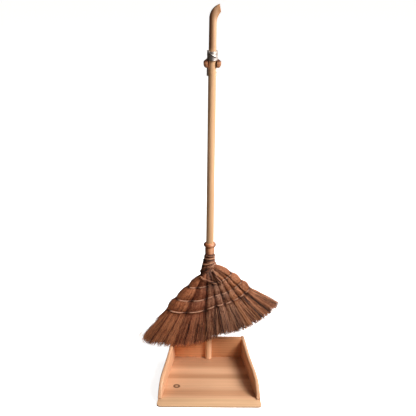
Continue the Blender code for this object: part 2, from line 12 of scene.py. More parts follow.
import bmesh
import bpy
import numpy as np
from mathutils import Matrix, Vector


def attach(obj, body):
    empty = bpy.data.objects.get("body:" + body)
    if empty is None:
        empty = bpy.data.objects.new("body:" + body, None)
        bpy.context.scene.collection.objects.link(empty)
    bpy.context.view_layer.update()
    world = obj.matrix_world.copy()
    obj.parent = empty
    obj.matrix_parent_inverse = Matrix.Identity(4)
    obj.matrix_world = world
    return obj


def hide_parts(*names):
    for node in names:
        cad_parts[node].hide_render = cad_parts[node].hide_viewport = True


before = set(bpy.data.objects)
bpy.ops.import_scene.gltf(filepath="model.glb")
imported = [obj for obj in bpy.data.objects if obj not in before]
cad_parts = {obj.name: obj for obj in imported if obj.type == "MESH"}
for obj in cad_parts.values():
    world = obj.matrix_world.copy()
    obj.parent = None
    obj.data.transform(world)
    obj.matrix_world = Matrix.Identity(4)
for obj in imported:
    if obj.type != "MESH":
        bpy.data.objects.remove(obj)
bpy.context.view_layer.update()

log = logging.getLogger("broom_and_pan")

Colour = tuple[float, float, float]
Triple = tuple[float, float, float]
MIDDLE = 0.5
STRAND_FULLNESS = 1.12
MERGE_GAP = 2e-6
FLAT_DEG = 0.5
EASED_DEG = 34.0
SHARP_DEG = 32.0


def paint(code: str) -> Colour:
    """Turns a display colour into the linear colour that a shader takes.

    Args:
        code: Six hexadecimal digits, two each for red, green and blue.

    Returns:
        The linear red, green and blue.
    """
    parts = [int(code[i : i + 2], 16) / 255 for i in (0, 2, 4)]
    red, green, blue = (((c + 0.055) / 1.055) ** 2.4 if c > 0.04045 else c / 12.92 for c in parts)
    return red, green, blue


# ---- Shaders ----


class Signal:
    """A shader socket that takes part in arithmetic: each operator adds one Math node."""

    def __init__(self, net: "Net", socket: bpy.types.NodeSocket) -> None:
        """Wraps an output socket of a net's node."""
        self.net = net
        self.socket = socket

    def sibling(self, key: str) -> "Signal":
        """Gives another output of the same node."""
        return Signal(self.net, self.net.find(self.socket.node.outputs, key))

    def maths(self, operation: str, *operands: "Signal | float") -> "Signal":
        """Adds a Math node.

        Args:
            operation: The node's operation.
            operands: Its inputs, in order.

        Returns:
            The node's value.
        """
        return self.net.add("ShaderNodeMath", {"operation": operation}, dict(enumerate(operands)))

    def __add__(self, other: "Signal | float") -> "Signal":
        """Adds."""
        return self.maths("ADD", self, other)

    def __radd__(self, other: float) -> "Signal":
        """Adds to a plain number."""
        return self.maths("ADD", other, self)

    def __sub__(self, other: "Signal | float") -> "Signal":
        """Subtracts."""
        return self.maths("SUBTRACT", self, other)

    def __rsub__(self, other: float) -> "Signal":
        """Subtracts from a plain number."""
        return self.maths("SUBTRACT", other, self)

    def __mul__(self, other: "Signal | float") -> "Signal":
        """Multiplies."""
        return self.maths("MULTIPLY", self, other)

    def __rmul__(self, other: float) -> "Signal":
        """Multiplies a plain number."""
        return self.maths("MULTIPLY", other, self)

    def __truediv__(self, other: "Signal | float") -> "Signal":
        """Divides."""
        return self.maths("DIVIDE", self, other)

    def __rtruediv__(self, other: float) -> "Signal":
        """Divides a plain number."""
        return self.maths("DIVIDE", other, self)

    def __pow__(self, other: "Signal | float") -> "Signal":
        """Raises to a power."""
        return self.maths("POWER", self, other)

    def fraction(self) -> "Signal":
        """Keeps the part after the point."""
        return self.maths("FRACT", self)

    def within(self, low: float, high: float) -> "Signal":
        """Maps the stretch from low to high smoothly onto 0 to 1, and clamps outside it."""
        values = {"Value": self, "From Min": low, "From Max": high}
        return self.net.add("ShaderNodeMapRange", {"interpolation_type": "SMOOTHSTEP"}, values)


Feed = Signal | float | tuple | None


class Net:
    """A node tree that is built one node at a time."""

    def __init__(self, tree: bpy.types.NodeTree) -> None:
        """Empties a tree, ready for new nodes."""
        self.tree = tree
        tree.nodes.clear()

    @staticmethod
    def find(sockets: bpy.types.bpy_prop_collection, key: str | int) -> bpy.types.NodeSocket:
        """Looks a socket up by its number, its identifier or its name, in that order."""
        if isinstance(key, int):
            return sockets[key]
        known = {socket.identifier: socket for socket in sockets}
        return known.get(key) or sockets[key]

    def add(
        self,
        kind: str,
        settings: dict[str, object] | None = None,
        values: dict[str | int, Feed] | None = None,
        out: str | int | None = 0,
    ) -> Signal | None:
        """Adds a node of any type.

        Args:
            kind: The node's type.
            settings: The node's own settings, set before its sockets. "stops" fills a colour ramp.
            values: A constant or a link for each named socket.
            out: The output that is wanted, or None for a node without one.

        Returns:
            The wanted output.
        """
        node = self.tree.nodes.new(kind)
        for key, value in (settings or {}).items():
            if key == "stops":
                self.fill_ramp(node.color_ramp, value)
            else:
                setattr(node, key, value)
        for key, value in (values or {}).items():
            socket = self.find(node.inputs, key)
            if isinstance(value, Signal):
                self.tree.links.new(value.socket, socket)
            elif socket.type == "RGBA" and len(value) == 3:
                socket.default_value = (*value, 1.0)
            else:
                socket.default_value = value
        return None if out is None else Signal(self, self.find(node.outputs, out))

    @staticmethod
    def fill_ramp(ramp: bpy.types.ColorRamp, stops: tuple) -> None:
        """Sets a ramp's stops from (place, grey or colour) pairs."""
        while len(ramp.elements) < len(stops):
            ramp.elements.new(1.0)
        for element, (place, shade) in zip(ramp.elements, stops):
            element.position = place
            element.color = (*(shade if isinstance(shade, tuple) else (shade,) * 3), 1.0)

    def ramp(self, value: Signal, *stops: tuple) -> Signal:
        """Runs a value through a colour ramp of (place, grey or colour) stops."""
        return self.add("ShaderNodeValToRGB", {"stops": stops}, {"Fac": value}, "Color")

    def join(self, x: Feed, y: Feed, z: Feed) -> Signal:
        """Makes a vector of three values."""
        return self.add("ShaderNodeCombineXYZ", None, {"X": x, "Y": y, "Z": z})

    def split(self, vector: Signal) -> tuple[Signal, Signal, Signal]:
        """Takes a vector apart."""
        first = self.add("ShaderNodeSeparateXYZ", None, {0: vector}, "X")
        return first, first.sibling("Y"), first.sibling("Z")

    def vector(self, operation: str, *operands: Feed, out: str = "Vector") -> Signal:
        """Adds a Vector Math node of the operation, with its inputs in order."""
        return self.add("ShaderNodeVectorMath", {"operation": operation}, dict(enumerate(operands)), out)

    def scaled(self, vector: Feed, factor: Feed) -> Signal:
        """Multiplies a colour or vector by one number."""
        values = {0: vector, "Scale": factor}
        return self.add("ShaderNodeVectorMath", {"operation": "SCALE"}, values, "Vector")

    def mix(self, factor: Feed, first: Feed, second: Feed, how: str = "MIX") -> Signal:
        """Mixes two colours."""
        settings = {"data_type": "RGBA", "blend_type": how}
        values = {"Factor_Float": factor, "A_Color": first, "B_Color": second}
        return self.add("ShaderNodeMix", settings, values, "Result_Color")

    def here(self) -> Signal:
        """The place on the piece, in the frame's metres."""
        return self.add("ShaderNodeTexCoord", None, None, "Object")

    def noise(self, where: Signal, stretch: Triple, detail: float = 2.0, roughness: float = 0.5) -> Signal:
        """Noise between 0 and 1.

        Args:
            where: The place that the noise is read at.
            stretch: How many times the noise repeats in a metre, along each axis.
            detail: How many finer layers lie on the first.
            roughness: How strong the finer layers are.

        Returns:
            The noise's value.
        """
        spread = self.vector("MULTIPLY", where, stretch)
        values = {"Vector": spread, "Scale": 1.0, "Detail": detail, "Roughness": roughness}
        return self.add("ShaderNodeTexNoise", None, values, "Fac")

    def surface(self, sockets: dict[str, Feed], height: Signal, strength: float, depth: float) -> None:
        """Ends a material with a Principled shader whose relief follows a height.

        Args:
            sockets: The shader's sockets.
            height: The relief's height, from 0 to 1.
            strength: How strong the relief shows.
            depth: The relief's full height in metres.
        """
        values = {"Strength": strength, "Distance": depth, "Height": height}
        bump = self.add("ShaderNodeBump", None, values, "Normal")
        shader = self.add("ShaderNodeBsdfPrincipled", None, {**sockets, "Normal": bump}, "BSDF")
        self.add("ShaderNodeOutputMaterial", None, {"Surface": shader}, None)


@dataclass(frozen=True)
class Finish:
    """What every finish shares: a name, and a material made from its fields."""

    name: str

    def material(self) -> bpy.types.Material:
        """Makes the material."""
        made = bpy.data.materials.new(self.name)
        made.use_nodes = True
        self.fill(Net(made.node_tree))
        return made

    def fill(self, net: Net) -> None:
        """Adds the finish's nodes to an empty tree."""
        raise NotImplementedError


class Grain(Enum):
    """The way a piece's grain runs, as the order of its axes: along, across and out of the face."""

    ALONG_X = (0, 1, 2)
    ALONG_Y = (1, 2, 0)
    ALONG_Z = (2, 0, 1)


@dataclass(frozen=True)
class Knot:
    """A small round knot: its centre and the radius of its dark rim."""

    centre: Triple
    radius: float


KNOT_RINGS = ((0.0, 0.3), (0.1, 0.2), (0.2, 0.3), (0.3, 1.0), (0.5, 1.0), (0.62, 0.0))


@dataclass(frozen=True)
class Stripe:
    """A soft band of another tint, for the wood's own colour or for painted light and shade: its middle, how
    far it reaches to each side, and its tint.

    Its axis is 0 for a place along the grain, 1 for a place across it, and 2 for the third way.
    With a start, the band shows only beyond that place along the grain.
    """

    middle: float
    reach: float
    tint: Colour
    core: float = 0.25
    axis: int = 1
    start: float | None = None


@dataclass(frozen=True)
class Wood(Finish):
    """Oiled wood with growth rings about a pith, fibres, and broad paler and darker stripes, some of them
    painted light and shade.

    A stretch says how many times a noise repeats in a metre along, across and out of the grain.
    """

    early: Colour
    late: Colour
    grain: Grain
    pith: tuple[float, float]
    ring_gap: float = 0.0055
    wobble: float = 0.010
    ring_strength: float = 0.5
    blotches: float = 0.22
    gloss: float = 0.46
    stripes: tuple[Stripe, ...] = ()
    knot: Knot | None = None
    painted_shade_spots: tuple[tuple[Triple, float, float], ...] = ()
    sway_stretch: Triple = (2.2, 11.0, 11.0)
    fibre_stretch: Triple = (26.0, 1100.0, 1100.0)
    streak_stretch: Triple = (4.0, 170.0, 170.0)
    cloud_stretch: Triple = (5.0, 22.0, 22.0)
    streak_shade: float = 0.22
    fibre_shade: float = 0.16
    stripe_sway: float = 0.012
    knot_push: float = 0.6
    knot_strength: float = 0.88
    knot_shade: float = 0.22
    painted_spot_darkness: float = 0.3
    late_gloss: float = 0.05
    late_relief: float = 0.35
    relief: float = 0.0004

    def fill(self, net: Net) -> None:
        """Adds the wood's nodes."""
        here = net.here()
        axes = net.split(here)
        along, across, out = (axes[i] for i in self.grain.value)
        lengthwise = net.join(along, across, out)
        sway = net.noise(lengthwise, self.sway_stretch) - MIDDLE
        side = across - self.pith[0]
        rise = out - self.pith[1]
        reach = (side * side + rise * rise) ** 0.5 + sway * self.wobble
        eye = None
        if self.knot:
            away = net.vector("DISTANCE", here, self.knot.centre, out="Value") / self.knot.radius
            eye = net.ramp(away * 0.5, *KNOT_RINGS)
            reach = reach + (1 - away.within(0.4, 2.4)) * (self.knot_push * self.ring_gap)
        phase = (reach / self.ring_gap).fraction()
        late = net.ramp(phase, (0.0, 0.0), (0.45, 0.16), (0.84, 1.0), (0.93, 0.8), (1.0, 0.0))
        fibres = net.noise(lengthwise, self.fibre_stretch, 3.0)
        streaks = net.noise(lengthwise, self.streak_stretch)
        cloud = net.noise(lengthwise, self.cloud_stretch)
        colour = net.mix(late * self.ring_strength, self.early, self.late)
        shade = 1 + (cloud - MIDDLE) * self.blotches + (streaks - MIDDLE) * self.streak_shade
        shade = shade + (fibres - MIDDLE) * self.fibre_shade
        colour = net.scaled(colour, shade)
        for stripe in self.stripes:
            offset = (along, across + sway * self.stripe_sway, out)[stripe.axis] - stripe.middle
            away = offset.maths("ABSOLUTE", offset)
            amount = 1 - away.within(stripe.core * stripe.reach, stripe.reach)
            if stripe.start is not None:
                amount = amount * along.within(stripe.start - 0.01, stripe.start + 0.01)
            colour = net.mix(amount, colour, stripe.tint, "MULTIPLY")
        if eye:
            colour = net.mix(eye * self.knot_strength, colour, net.scaled(self.late, self.knot_shade))
        # Painted shade: dark spots where a piece lies in shade, such as the crook's upper left edge.
        for centre, radius, strength in self.painted_shade_spots:
            away = net.vector("DISTANCE", here, centre, out="Value") + (cloud - MIDDLE) * radius
            amount = (1 - away.within(0.3 * radius, radius)) * strength
            colour = net.mix(amount, colour, net.scaled(self.late, self.painted_spot_darkness))
        rough = self.gloss + (fibres - MIDDLE) * self.fibre_shade - late * self.late_gloss
        height = late * self.late_relief + fibres * (1 - self.late_relief)
        net.surface({"Base Color": colour, "Roughness": rough, "IOR": 1.45}, height, 0.35, self.relief)


@dataclass(frozen=True)
class PalmFibre(Finish):
    """Palm fibre: the mesh gives each fibre a tone, from dark to pale, which holds its own colour and also
    painted shade in folds, under ties and on dark cores.
    """

    dark: Colour
    plain: Colour
    pale: Colour
    mottle_stretch: float = 160.0
    mottle_shade: float = 0.95
    cloud_stretch: float = 38.0
    cloud_shade: float = 0.45
    rough: float = 0.62

    def fill(self, net: Net) -> None:
        """Adds the fibre's nodes."""
        tone = net.add("ShaderNodeAttribute", {"attribute_name": "tone"}, None, "Fac")
        here = net.here()
        mottle = net.noise(here, (self.mottle_stretch,) * 3, 3.0, 0.6)
        cloud = net.noise(here, (self.cloud_stretch,) * 3)
        mixed = tone + (mottle - MIDDLE) * self.mottle_shade + (cloud - MIDDLE) * self.cloud_shade
        colour = net.ramp(mixed, (0.0, self.dark), (0.42, self.plain), (0.72, self.pale), (1.0, self.pale))
        rough = self.rough + (mottle - MIDDLE) * 0.2
        sockets = {"Base Color": colour, "Roughness": rough, "Specular IOR Level": 0.35}
        net.surface(sockets, mottle, 0.4, 0.0003)


@dataclass(frozen=True)
class Cord(Finish):
    """Twisted binding cord with a soft, hairy surface."""

    shade: Colour
    light: Colour
    hair_stretch: float = 900.0
    wear_stretch: float = 60.0
    rough: float = 0.72

    def fill(self, net: Net) -> None:
        """Adds the cord's nodes."""
        here = net.here()
        hairs = net.noise(here, (self.hair_stretch,) * 3, 3.0, 0.65)
        wear = net.noise(here, (self.wear_stretch,) * 3)
        tone = net.add("ShaderNodeAttribute", {"attribute_name": "tone"}, None, "Fac")
        mixed = tone + (hairs - MIDDLE) * 0.5 + (wear - MIDDLE) * 0.3
        colour = net.mix(mixed.within(0.0, 1.0), self.shade, self.light)
        rough = self.rough + (hairs - MIDDLE) * 0.2
        net.surface({"Base Color": colour, "Roughness": rough}, hairs, 0.5, 0.0003)


@dataclass(frozen=True)
class Steel(Finish):
    """Drawn or turned steel, with fine scratches and faint tarnish."""

    base: Colour
    tarnish: Colour
    rough: float = 0.24
    scratch_stretch: Triple = (300.0, 300.0, 2400.0)
    patch_stretch: float = 240.0

    def fill(self, net: Net) -> None:
        """Adds the metal's nodes."""
        here = net.here()
        scratches = net.noise(here, self.scratch_stretch, 3.0)
        patches = net.noise(here, (self.patch_stretch,) * 3, 3.0, 0.6)
        colour = net.mix(patches.within(0.42, 0.68), self.base, self.tarnish)
        rough = self.rough + (scratches - MIDDLE) * 0.16 + patches.within(0.5, 0.8) * 0.14
        sockets = {"Base Color": colour, "Metallic": 1.0, "Roughness": rough}
        net.surface(sockets, scratches, 0.12, 0.0001)


# ---- Meshes ----


def unit(vectors: np.ndarray) -> np.ndarray:
    """Scales vectors to length one."""
    return vectors / np.maximum(np.linalg.norm(vectors, axis=-1, keepdims=True), 1e-12)


class Skin:
    """Points, faces and the tone of each point, gathered for one mesh."""

    def __init__(self) -> None:
        """Starts with nothing."""
        self.points: list[np.ndarray] = []
        self.tones: list[np.ndarray] = []
        self.faces: list[list[int]] = []
        self.count = 0

    def add_grid(self, grid: np.ndarray, tones: np.ndarray | float, closed: bool = False) -> None:
        """Adds tubes whose sections are known.

        Args:
            grid: The places of the points, by tube, section, point of the section and axis.
            tones: A tone for all, for each tube, or for each tube and section.
            closed: Whether the last section meets the first, or both are capped.
        """
        tubes, rows, sides, _ = grid.shape
        number = self.count + np.arange(tubes * rows * sides).reshape(tubes, rows, sides)
        beside = np.roll(number, -1, axis=2)
        if closed:
            low, high = number, np.roll(number, -1, axis=1)
            low_beside, high_beside = beside, np.roll(beside, -1, axis=1)
        else:
            low, high = number[:, :-1], number[:, 1:]
            low_beside, high_beside = beside[:, :-1], beside[:, 1:]
        quads = np.stack([low, low_beside, high_beside, high], axis=-1).reshape(-1, 4)
        self.faces += quads.tolist()
        if not closed:
            self.faces += number[:, 0, ::-1].tolist() + number[:, -1].tolist()
        self.points.append(grid.reshape(-1, 3))
        spread = np.asarray(tones, float)
        spread = spread.reshape(-1, 1, 1) if spread.ndim < 2 else spread[..., None]
        self.tones.append(np.broadcast_to(spread, (tubes, rows, sides)).reshape(-1))
        self.count += tubes * rows * sides

    def add_tubes(
        self,
        paths: np.ndarray,
        radii: np.ndarray | float,
        up: np.ndarray | Triple,
        sides: int,
        tones: np.ndarray | float = MIDDLE,
        closed: bool = False,
    ) -> None:
        """Adds a round tube along each path.

        Args:
            paths: The places along each path, by path, step and axis.
            radii: The tube's radius, for all or by path and step.
            up: A direction that no path runs along, for all or by path and step.
            sides: The number of points round a tube.
            tones: A tone for all, for each tube, or for each tube and step.
            closed: Whether each path runs back into its start.
        """
        if closed:
            ahead = np.roll(paths, -1, axis=1) - np.roll(paths, 1, axis=1)
        else:
            ahead = np.gradient(paths, axis=1)
        ahead = unit(ahead)
        beside = unit(np.cross(ahead, np.broadcast_to(np.asarray(up, float), paths.shape)))
        above = np.cross(beside, ahead)
        turn = 2 * np.pi * np.arange(sides) / sides
        wide = np.broadcast_to(np.asarray(radii, float), paths.shape[:2])[:, :, None, None]
        ring = beside[:, :, None] * np.cos(turn)[:, None] + above[:, :, None] * np.sin(turn)[:, None]
        self.add_grid(paths[:, :, None] + wide * ring, tones, closed)

    def add_rope(
        self,
        path: np.ndarray,
        up: np.ndarray | Triple,
        thick: float,
        lay: float,
        strands: int = 3,
        sides: int = 6,
        closed: bool = False,
        tones: np.ndarray | tuple[float, ...] = (0.35, 0.6, 0.8),
    ) -> None:
        """Adds a laid rope: strands that twist round a path.

        Args:
            path: The places along the rope's middle, by step and axis.
            up: A direction that the path never runs along, for all or by step.
            thick: The rope's radius.
            lay: How far a strand runs in one turn round the rope.
            strands: The number of strands.
            sides: The number of points round a strand.
            closed: Whether the rope runs back into its start.
            tones: The tones of the strands, for all of each or by step.
        """
        steps = np.roll(path, -1, axis=0) - path if closed else np.diff(path, axis=0)
        lengths = np.linalg.norm(steps, axis=1)
        run = np.concatenate([[0.0], np.cumsum(lengths)])
        turns = run[-1] / lay
        if closed:
            turns = max(1, round(turns))
        angle = 2 * np.pi * turns * (run[: len(path)] / run[-1])
        if closed:
            ahead = unit(np.roll(path, -1, axis=0) - np.roll(path, 1, axis=0))
        else:
            ahead = unit(np.gradient(path, axis=0))
        beside = unit(np.cross(ahead, np.broadcast_to(np.asarray(up, float), path.shape)))
        above = np.cross(beside, ahead)
        share = 1 / (1 + math.sin(math.pi / strands))
        radius = thick * (1 - share) * STRAND_FULLNESS
        for k in range(strands):
            turn = (angle + 2 * np.pi * k / strands)[:, None]
            middle = path + thick * share * (beside * np.cos(turn) + above * np.sin(turn))
            tone = np.asarray(tones[k % len(tones)], float)[None]
            self.add_tubes(middle[None], radius, up, sides, tone, closed)

    def build(self, name: str, sharp_deg: float = 40.0) -> bpy.types.Object:
        """Makes the object.

        Args:
            name: The object's name.
            sharp_deg: Edges that turn more than this stay sharp.

        Returns:
            The new object, linked to the scene.
        """
        mesh = bpy.data.meshes.new(name)
        mesh.from_pydata(np.concatenate(self.points).tolist(), [], self.faces)
        layer = mesh.attributes.new("tone", "FLOAT", "POINT")
        layer.data.foreach_set("value", np.concatenate(self.tones).astype(np.float32))
        made = bpy.data.objects.new(name, mesh)
        bpy.context.scene.collection.objects.link(made)
        shape = bmesh.new()
        shape.from_mesh(mesh)
        bmesh.ops.recalc_face_normals(shape, faces=shape.faces)
        shape.to_mesh(mesh)
        shape.free()
        mesh.shade_smooth()
        mesh.set_sharp_from_angle(angle=math.radians(sharp_deg))
        return made


def softened(node: str, name: str, width: float, segments: int = 3) -> bpy.types.Object:
    """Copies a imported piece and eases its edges, as sanding does.

    Args:
        node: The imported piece.
        name: The new object's name.
        width: How far an edge is eased.
        segments: The number of faces across an eased edge.

    Returns:
        The new object, linked to the scene.
    """
    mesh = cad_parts[node].data.copy()
    mesh.name = name
    shape = bmesh.new()
    shape.from_mesh(mesh)
    bmesh.ops.remove_doubles(shape, verts=shape.verts, dist=MERGE_GAP)
    bmesh.ops.dissolve_limit(
        shape, angle_limit=math.radians(FLAT_DEG), verts=shape.verts, edges=shape.edges
    )
    turned = [e for e in shape.edges if e.calc_face_angle(0.0) > math.radians(EASED_DEG)]
    bmesh.ops.bevel(
        shape, geom=turned, offset=width, segments=segments, profile=0.5, affect="EDGES", clamp_overlap=True
    )
    bmesh.ops.triangulate(shape, faces=[f for f in shape.faces if len(f.verts) > 4])
    bmesh.ops.recalc_face_normals(shape, faces=shape.faces)
    if mesh.has_custom_normals:
        mesh.attributes.remove(mesh.attributes["custom_normal"])
    shape.to_mesh(mesh)
    shape.free()
    mesh.shade_smooth()
    mesh.set_sharp_from_angle(angle=math.radians(SHARP_DEG))
    made = bpy.data.objects.new(name, mesh)
    bpy.context.scene.collection.objects.link(made)
    return made


def dress(piece: bpy.types.Object, finish: Finish, body: str, slot: str, *nodes: str) -> bpy.types.Object:
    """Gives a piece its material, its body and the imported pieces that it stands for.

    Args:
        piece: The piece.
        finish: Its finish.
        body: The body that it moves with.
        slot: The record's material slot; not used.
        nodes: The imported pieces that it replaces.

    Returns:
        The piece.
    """
    piece.data.materials.clear()
    piece.data.materials.append(finish.material())
    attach(piece, body)
    if nodes:
        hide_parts(*nodes)
    log.info("%s: %d faces, rides on %s", piece.name, len(piece.data.polygons), body)
    return piece


# ---- Dustpan ----


@dataclass
class Dustpan:
    """The floor board, the two side walls and the back panel."""

    board_ease: float = 0.0016
    wall_ease: float = 0.0008
    early: Colour = paint("e0ae88")
    late: Colour = paint("b47a52")
    board_early: Colour = paint("d9a984")
    board_late: Colour = paint("ae764f")
    warm_early: Colour = paint("dc9c6e")
    warm_late: Colour = paint("b06c3c")

    def build(self) -> None:
        """Makes and dresses the pan's four wooden pieces."""
        deep = (0.80, 0.72, 0.66)
        stripes = (
            Stripe(-0.134, 0.029, (0.99, 1.06, 1.02), core=0.9),
            Stripe(-0.078, 0.026, deep),
            Stripe(0.007, 0.019, deep),
            # Painted shade in part: the broad darker band at the back, along the back panel, is partly the
            # board's own colour and partly painted shade.
            Stripe(0.092, 0.046, (0.76, 0.67, 0.62), core=0.5),
        )
        board = Wood(
            "floor_board_wood", self.board_early, self.board_late, Grain.ALONG_X, (0.015, -0.16),
            ring_gap=0.0052, wobble=0.008, ring_strength=0.16, stripes=stripes,
            knot=Knot((-0.090, -0.045, 0.011), 0.0088),
        )
        planed = softened("floor_board", "floor_board_planed", self.board_ease)
        dress(planed, board, "pan", "pan_wood", "floor_board")
        for word, side in (("left", -1), ("right", 1)):
            wood = Wood(
                f"{word}_wall_wood", self.early, self.late, Grain.ALONG_Y, (-0.03, side * 0.02),
                ring_gap=0.0048, ring_strength=0.26,
            )
            wall = softened(f"{word}_side_wall", f"{word}_side_wall_sanded", self.wall_ease)
            dress(wall, wood, "pan", "pan_wood", f"{word}_side_wall")
        wood = Wood(
            "back_panel_wood", self.warm_early, self.warm_late, Grain.ALONG_X, (0.20, -0.05),
            ring_gap=0.0060, ring_strength=0.24,
            stripes=(
                # Painted light on the left part, where the fan's shadow falls, and painted shade on the right
                # part, beside the right wall.
                Stripe(-0.075, 0.085, (1.22, 1.18, 1.16), core=0.6, axis=0),
                Stripe(0.060, 0.050, (0.88, 0.85, 0.82), core=0.5, axis=0),
            ),
        )
        panel = softened("back_panel", "back_panel_sanded", self.wall_ease)
        dress(panel, wood, "pan", "pan_wood", "back_panel")


@dataclass
class PoleAndYoke:
    """The pole that stands in the back panel, and the yoke on its top."""

    yoke_ease: float = 0.0011
    pole_ease: float = 0.0004

    def build(self) -> None:
        """Makes and dresses the pole and the yoke."""
        wood = Wood(
            "pole_wood", paint("e8b68c"), paint("b87a50"), Grain.ALONG_Z, (0.055, 0.17),
            ring_gap=0.0042, wobble=0.006, ring_strength=0.34,
            # Painted highlight on the pole's lit right side.
            stripes=(Stripe(0.0075, 0.0095, (1.16, 1.16, 1.20), core=0.3),),
        )
        pole = softened("pan_pole", "pan_pole_sanded", self.pole_ease, 1)
        dress(pole, wood, "pan", "stick_wood", "pan_pole")
        wood = Wood(
            "yoke_wood", paint("c98d66"), paint("8d4f2f"), Grain.ALONG_X, (0.16, 0.82),
            ring_gap=0.0036, wobble=0.006,
            # Painted shade along the yoke's top face.
            stripes=(Stripe(0.9010, 0.0044, (0.24, 0.16, 0.12), core=0.5, axis=2),),
        )
        yoke = softened("broom_yoke", "broom_yoke_turned", self.yoke_ease)
        dress(yoke, wood, "pan", "turned_wood", "broom_yoke")


# ---- Wire bands ----


@dataclass
class WireBand:
    """A band of steel wire wound in layers round a pole, with one turn that crosses it on a slant."""

    name: str
    node: str
    body: str
    centre: tuple[float, float]
    inner: float
    outer: float
    low: float
    high: float
    wire: float = 0.00105
    crossing_deg: tuple[float, float] | None = None
    shine: Colour = (0.44, 0.40, 0.38)
    tarnish: Colour = (0.20, 0.17, 0.15)
    rough: float = 0.48
    start_deg: float = -130.0
    turn_gap: float = 2.03
    layer_gap: float = 1.86
    crossing_lift: float = 1.7
    crossing_drop: float = 0.62
    steps: int = 36
    sides: int = 7

    def helix(self, radius: float) -> np.ndarray:
        """The wire's path on one layer, with its ends dipped a little into the layer below."""
        tall = self.high - self.low - 2 * self.wire
        turns = max(1, int(tall / (self.turn_gap * self.wire)))
        along = np.linspace(0.0, 1.0, turns * self.steps + 1)
        angle = 2 * np.pi * turns * along + math.radians(self.start_deg)
        x = self.centre[0] + radius * np.cos(angle)
        y = self.centre[1] + radius * np.sin(angle)
        return np.stack([x, y, self.low + self.wire + tall * along], axis=-1)

    def build(self) -> None:
        """Winds the layers and the crossing turn."""
        skin = Skin()
        radius = self.inner + self.wire
        while radius + self.wire <= self.outer + 1e-6:
            skin.add_tubes(self.helix(radius)[None], self.wire, (0, 0, 1), self.sides)
            last = radius
            radius += self.layer_gap * self.wire
        if self.crossing_deg:
            first, end = (math.radians(a) for a in self.crossing_deg)
            along = np.linspace(0.0, 1.0, 30)
            angle = first + (end - first) * along
            lift = last + self.crossing_lift * self.wire * np.sin(np.pi * along) ** 0.25
            z = self.high - self.wire - (self.high - self.low) * self.crossing_drop * along
            x, y = self.centre[0] + lift * np.cos(angle), self.centre[1] + lift * np.sin(angle)
            skin.add_tubes(np.stack([x, y, z], axis=-1)[None], self.wire, (0, 0, 1), self.sides)
        steel = Steel(f"{self.name}_steel", self.shine, self.tarnish, self.rough)
        dress(skin.build(self.name), steel, self.body, "steel_wire", self.node)


# ---- Broom stick and socket ----


@dataclass(frozen=True)
class Arc:
    """One side of the crook: the height where it starts, its radius and how far it turns."""

    start: float
    radius: float
    turn_deg: float


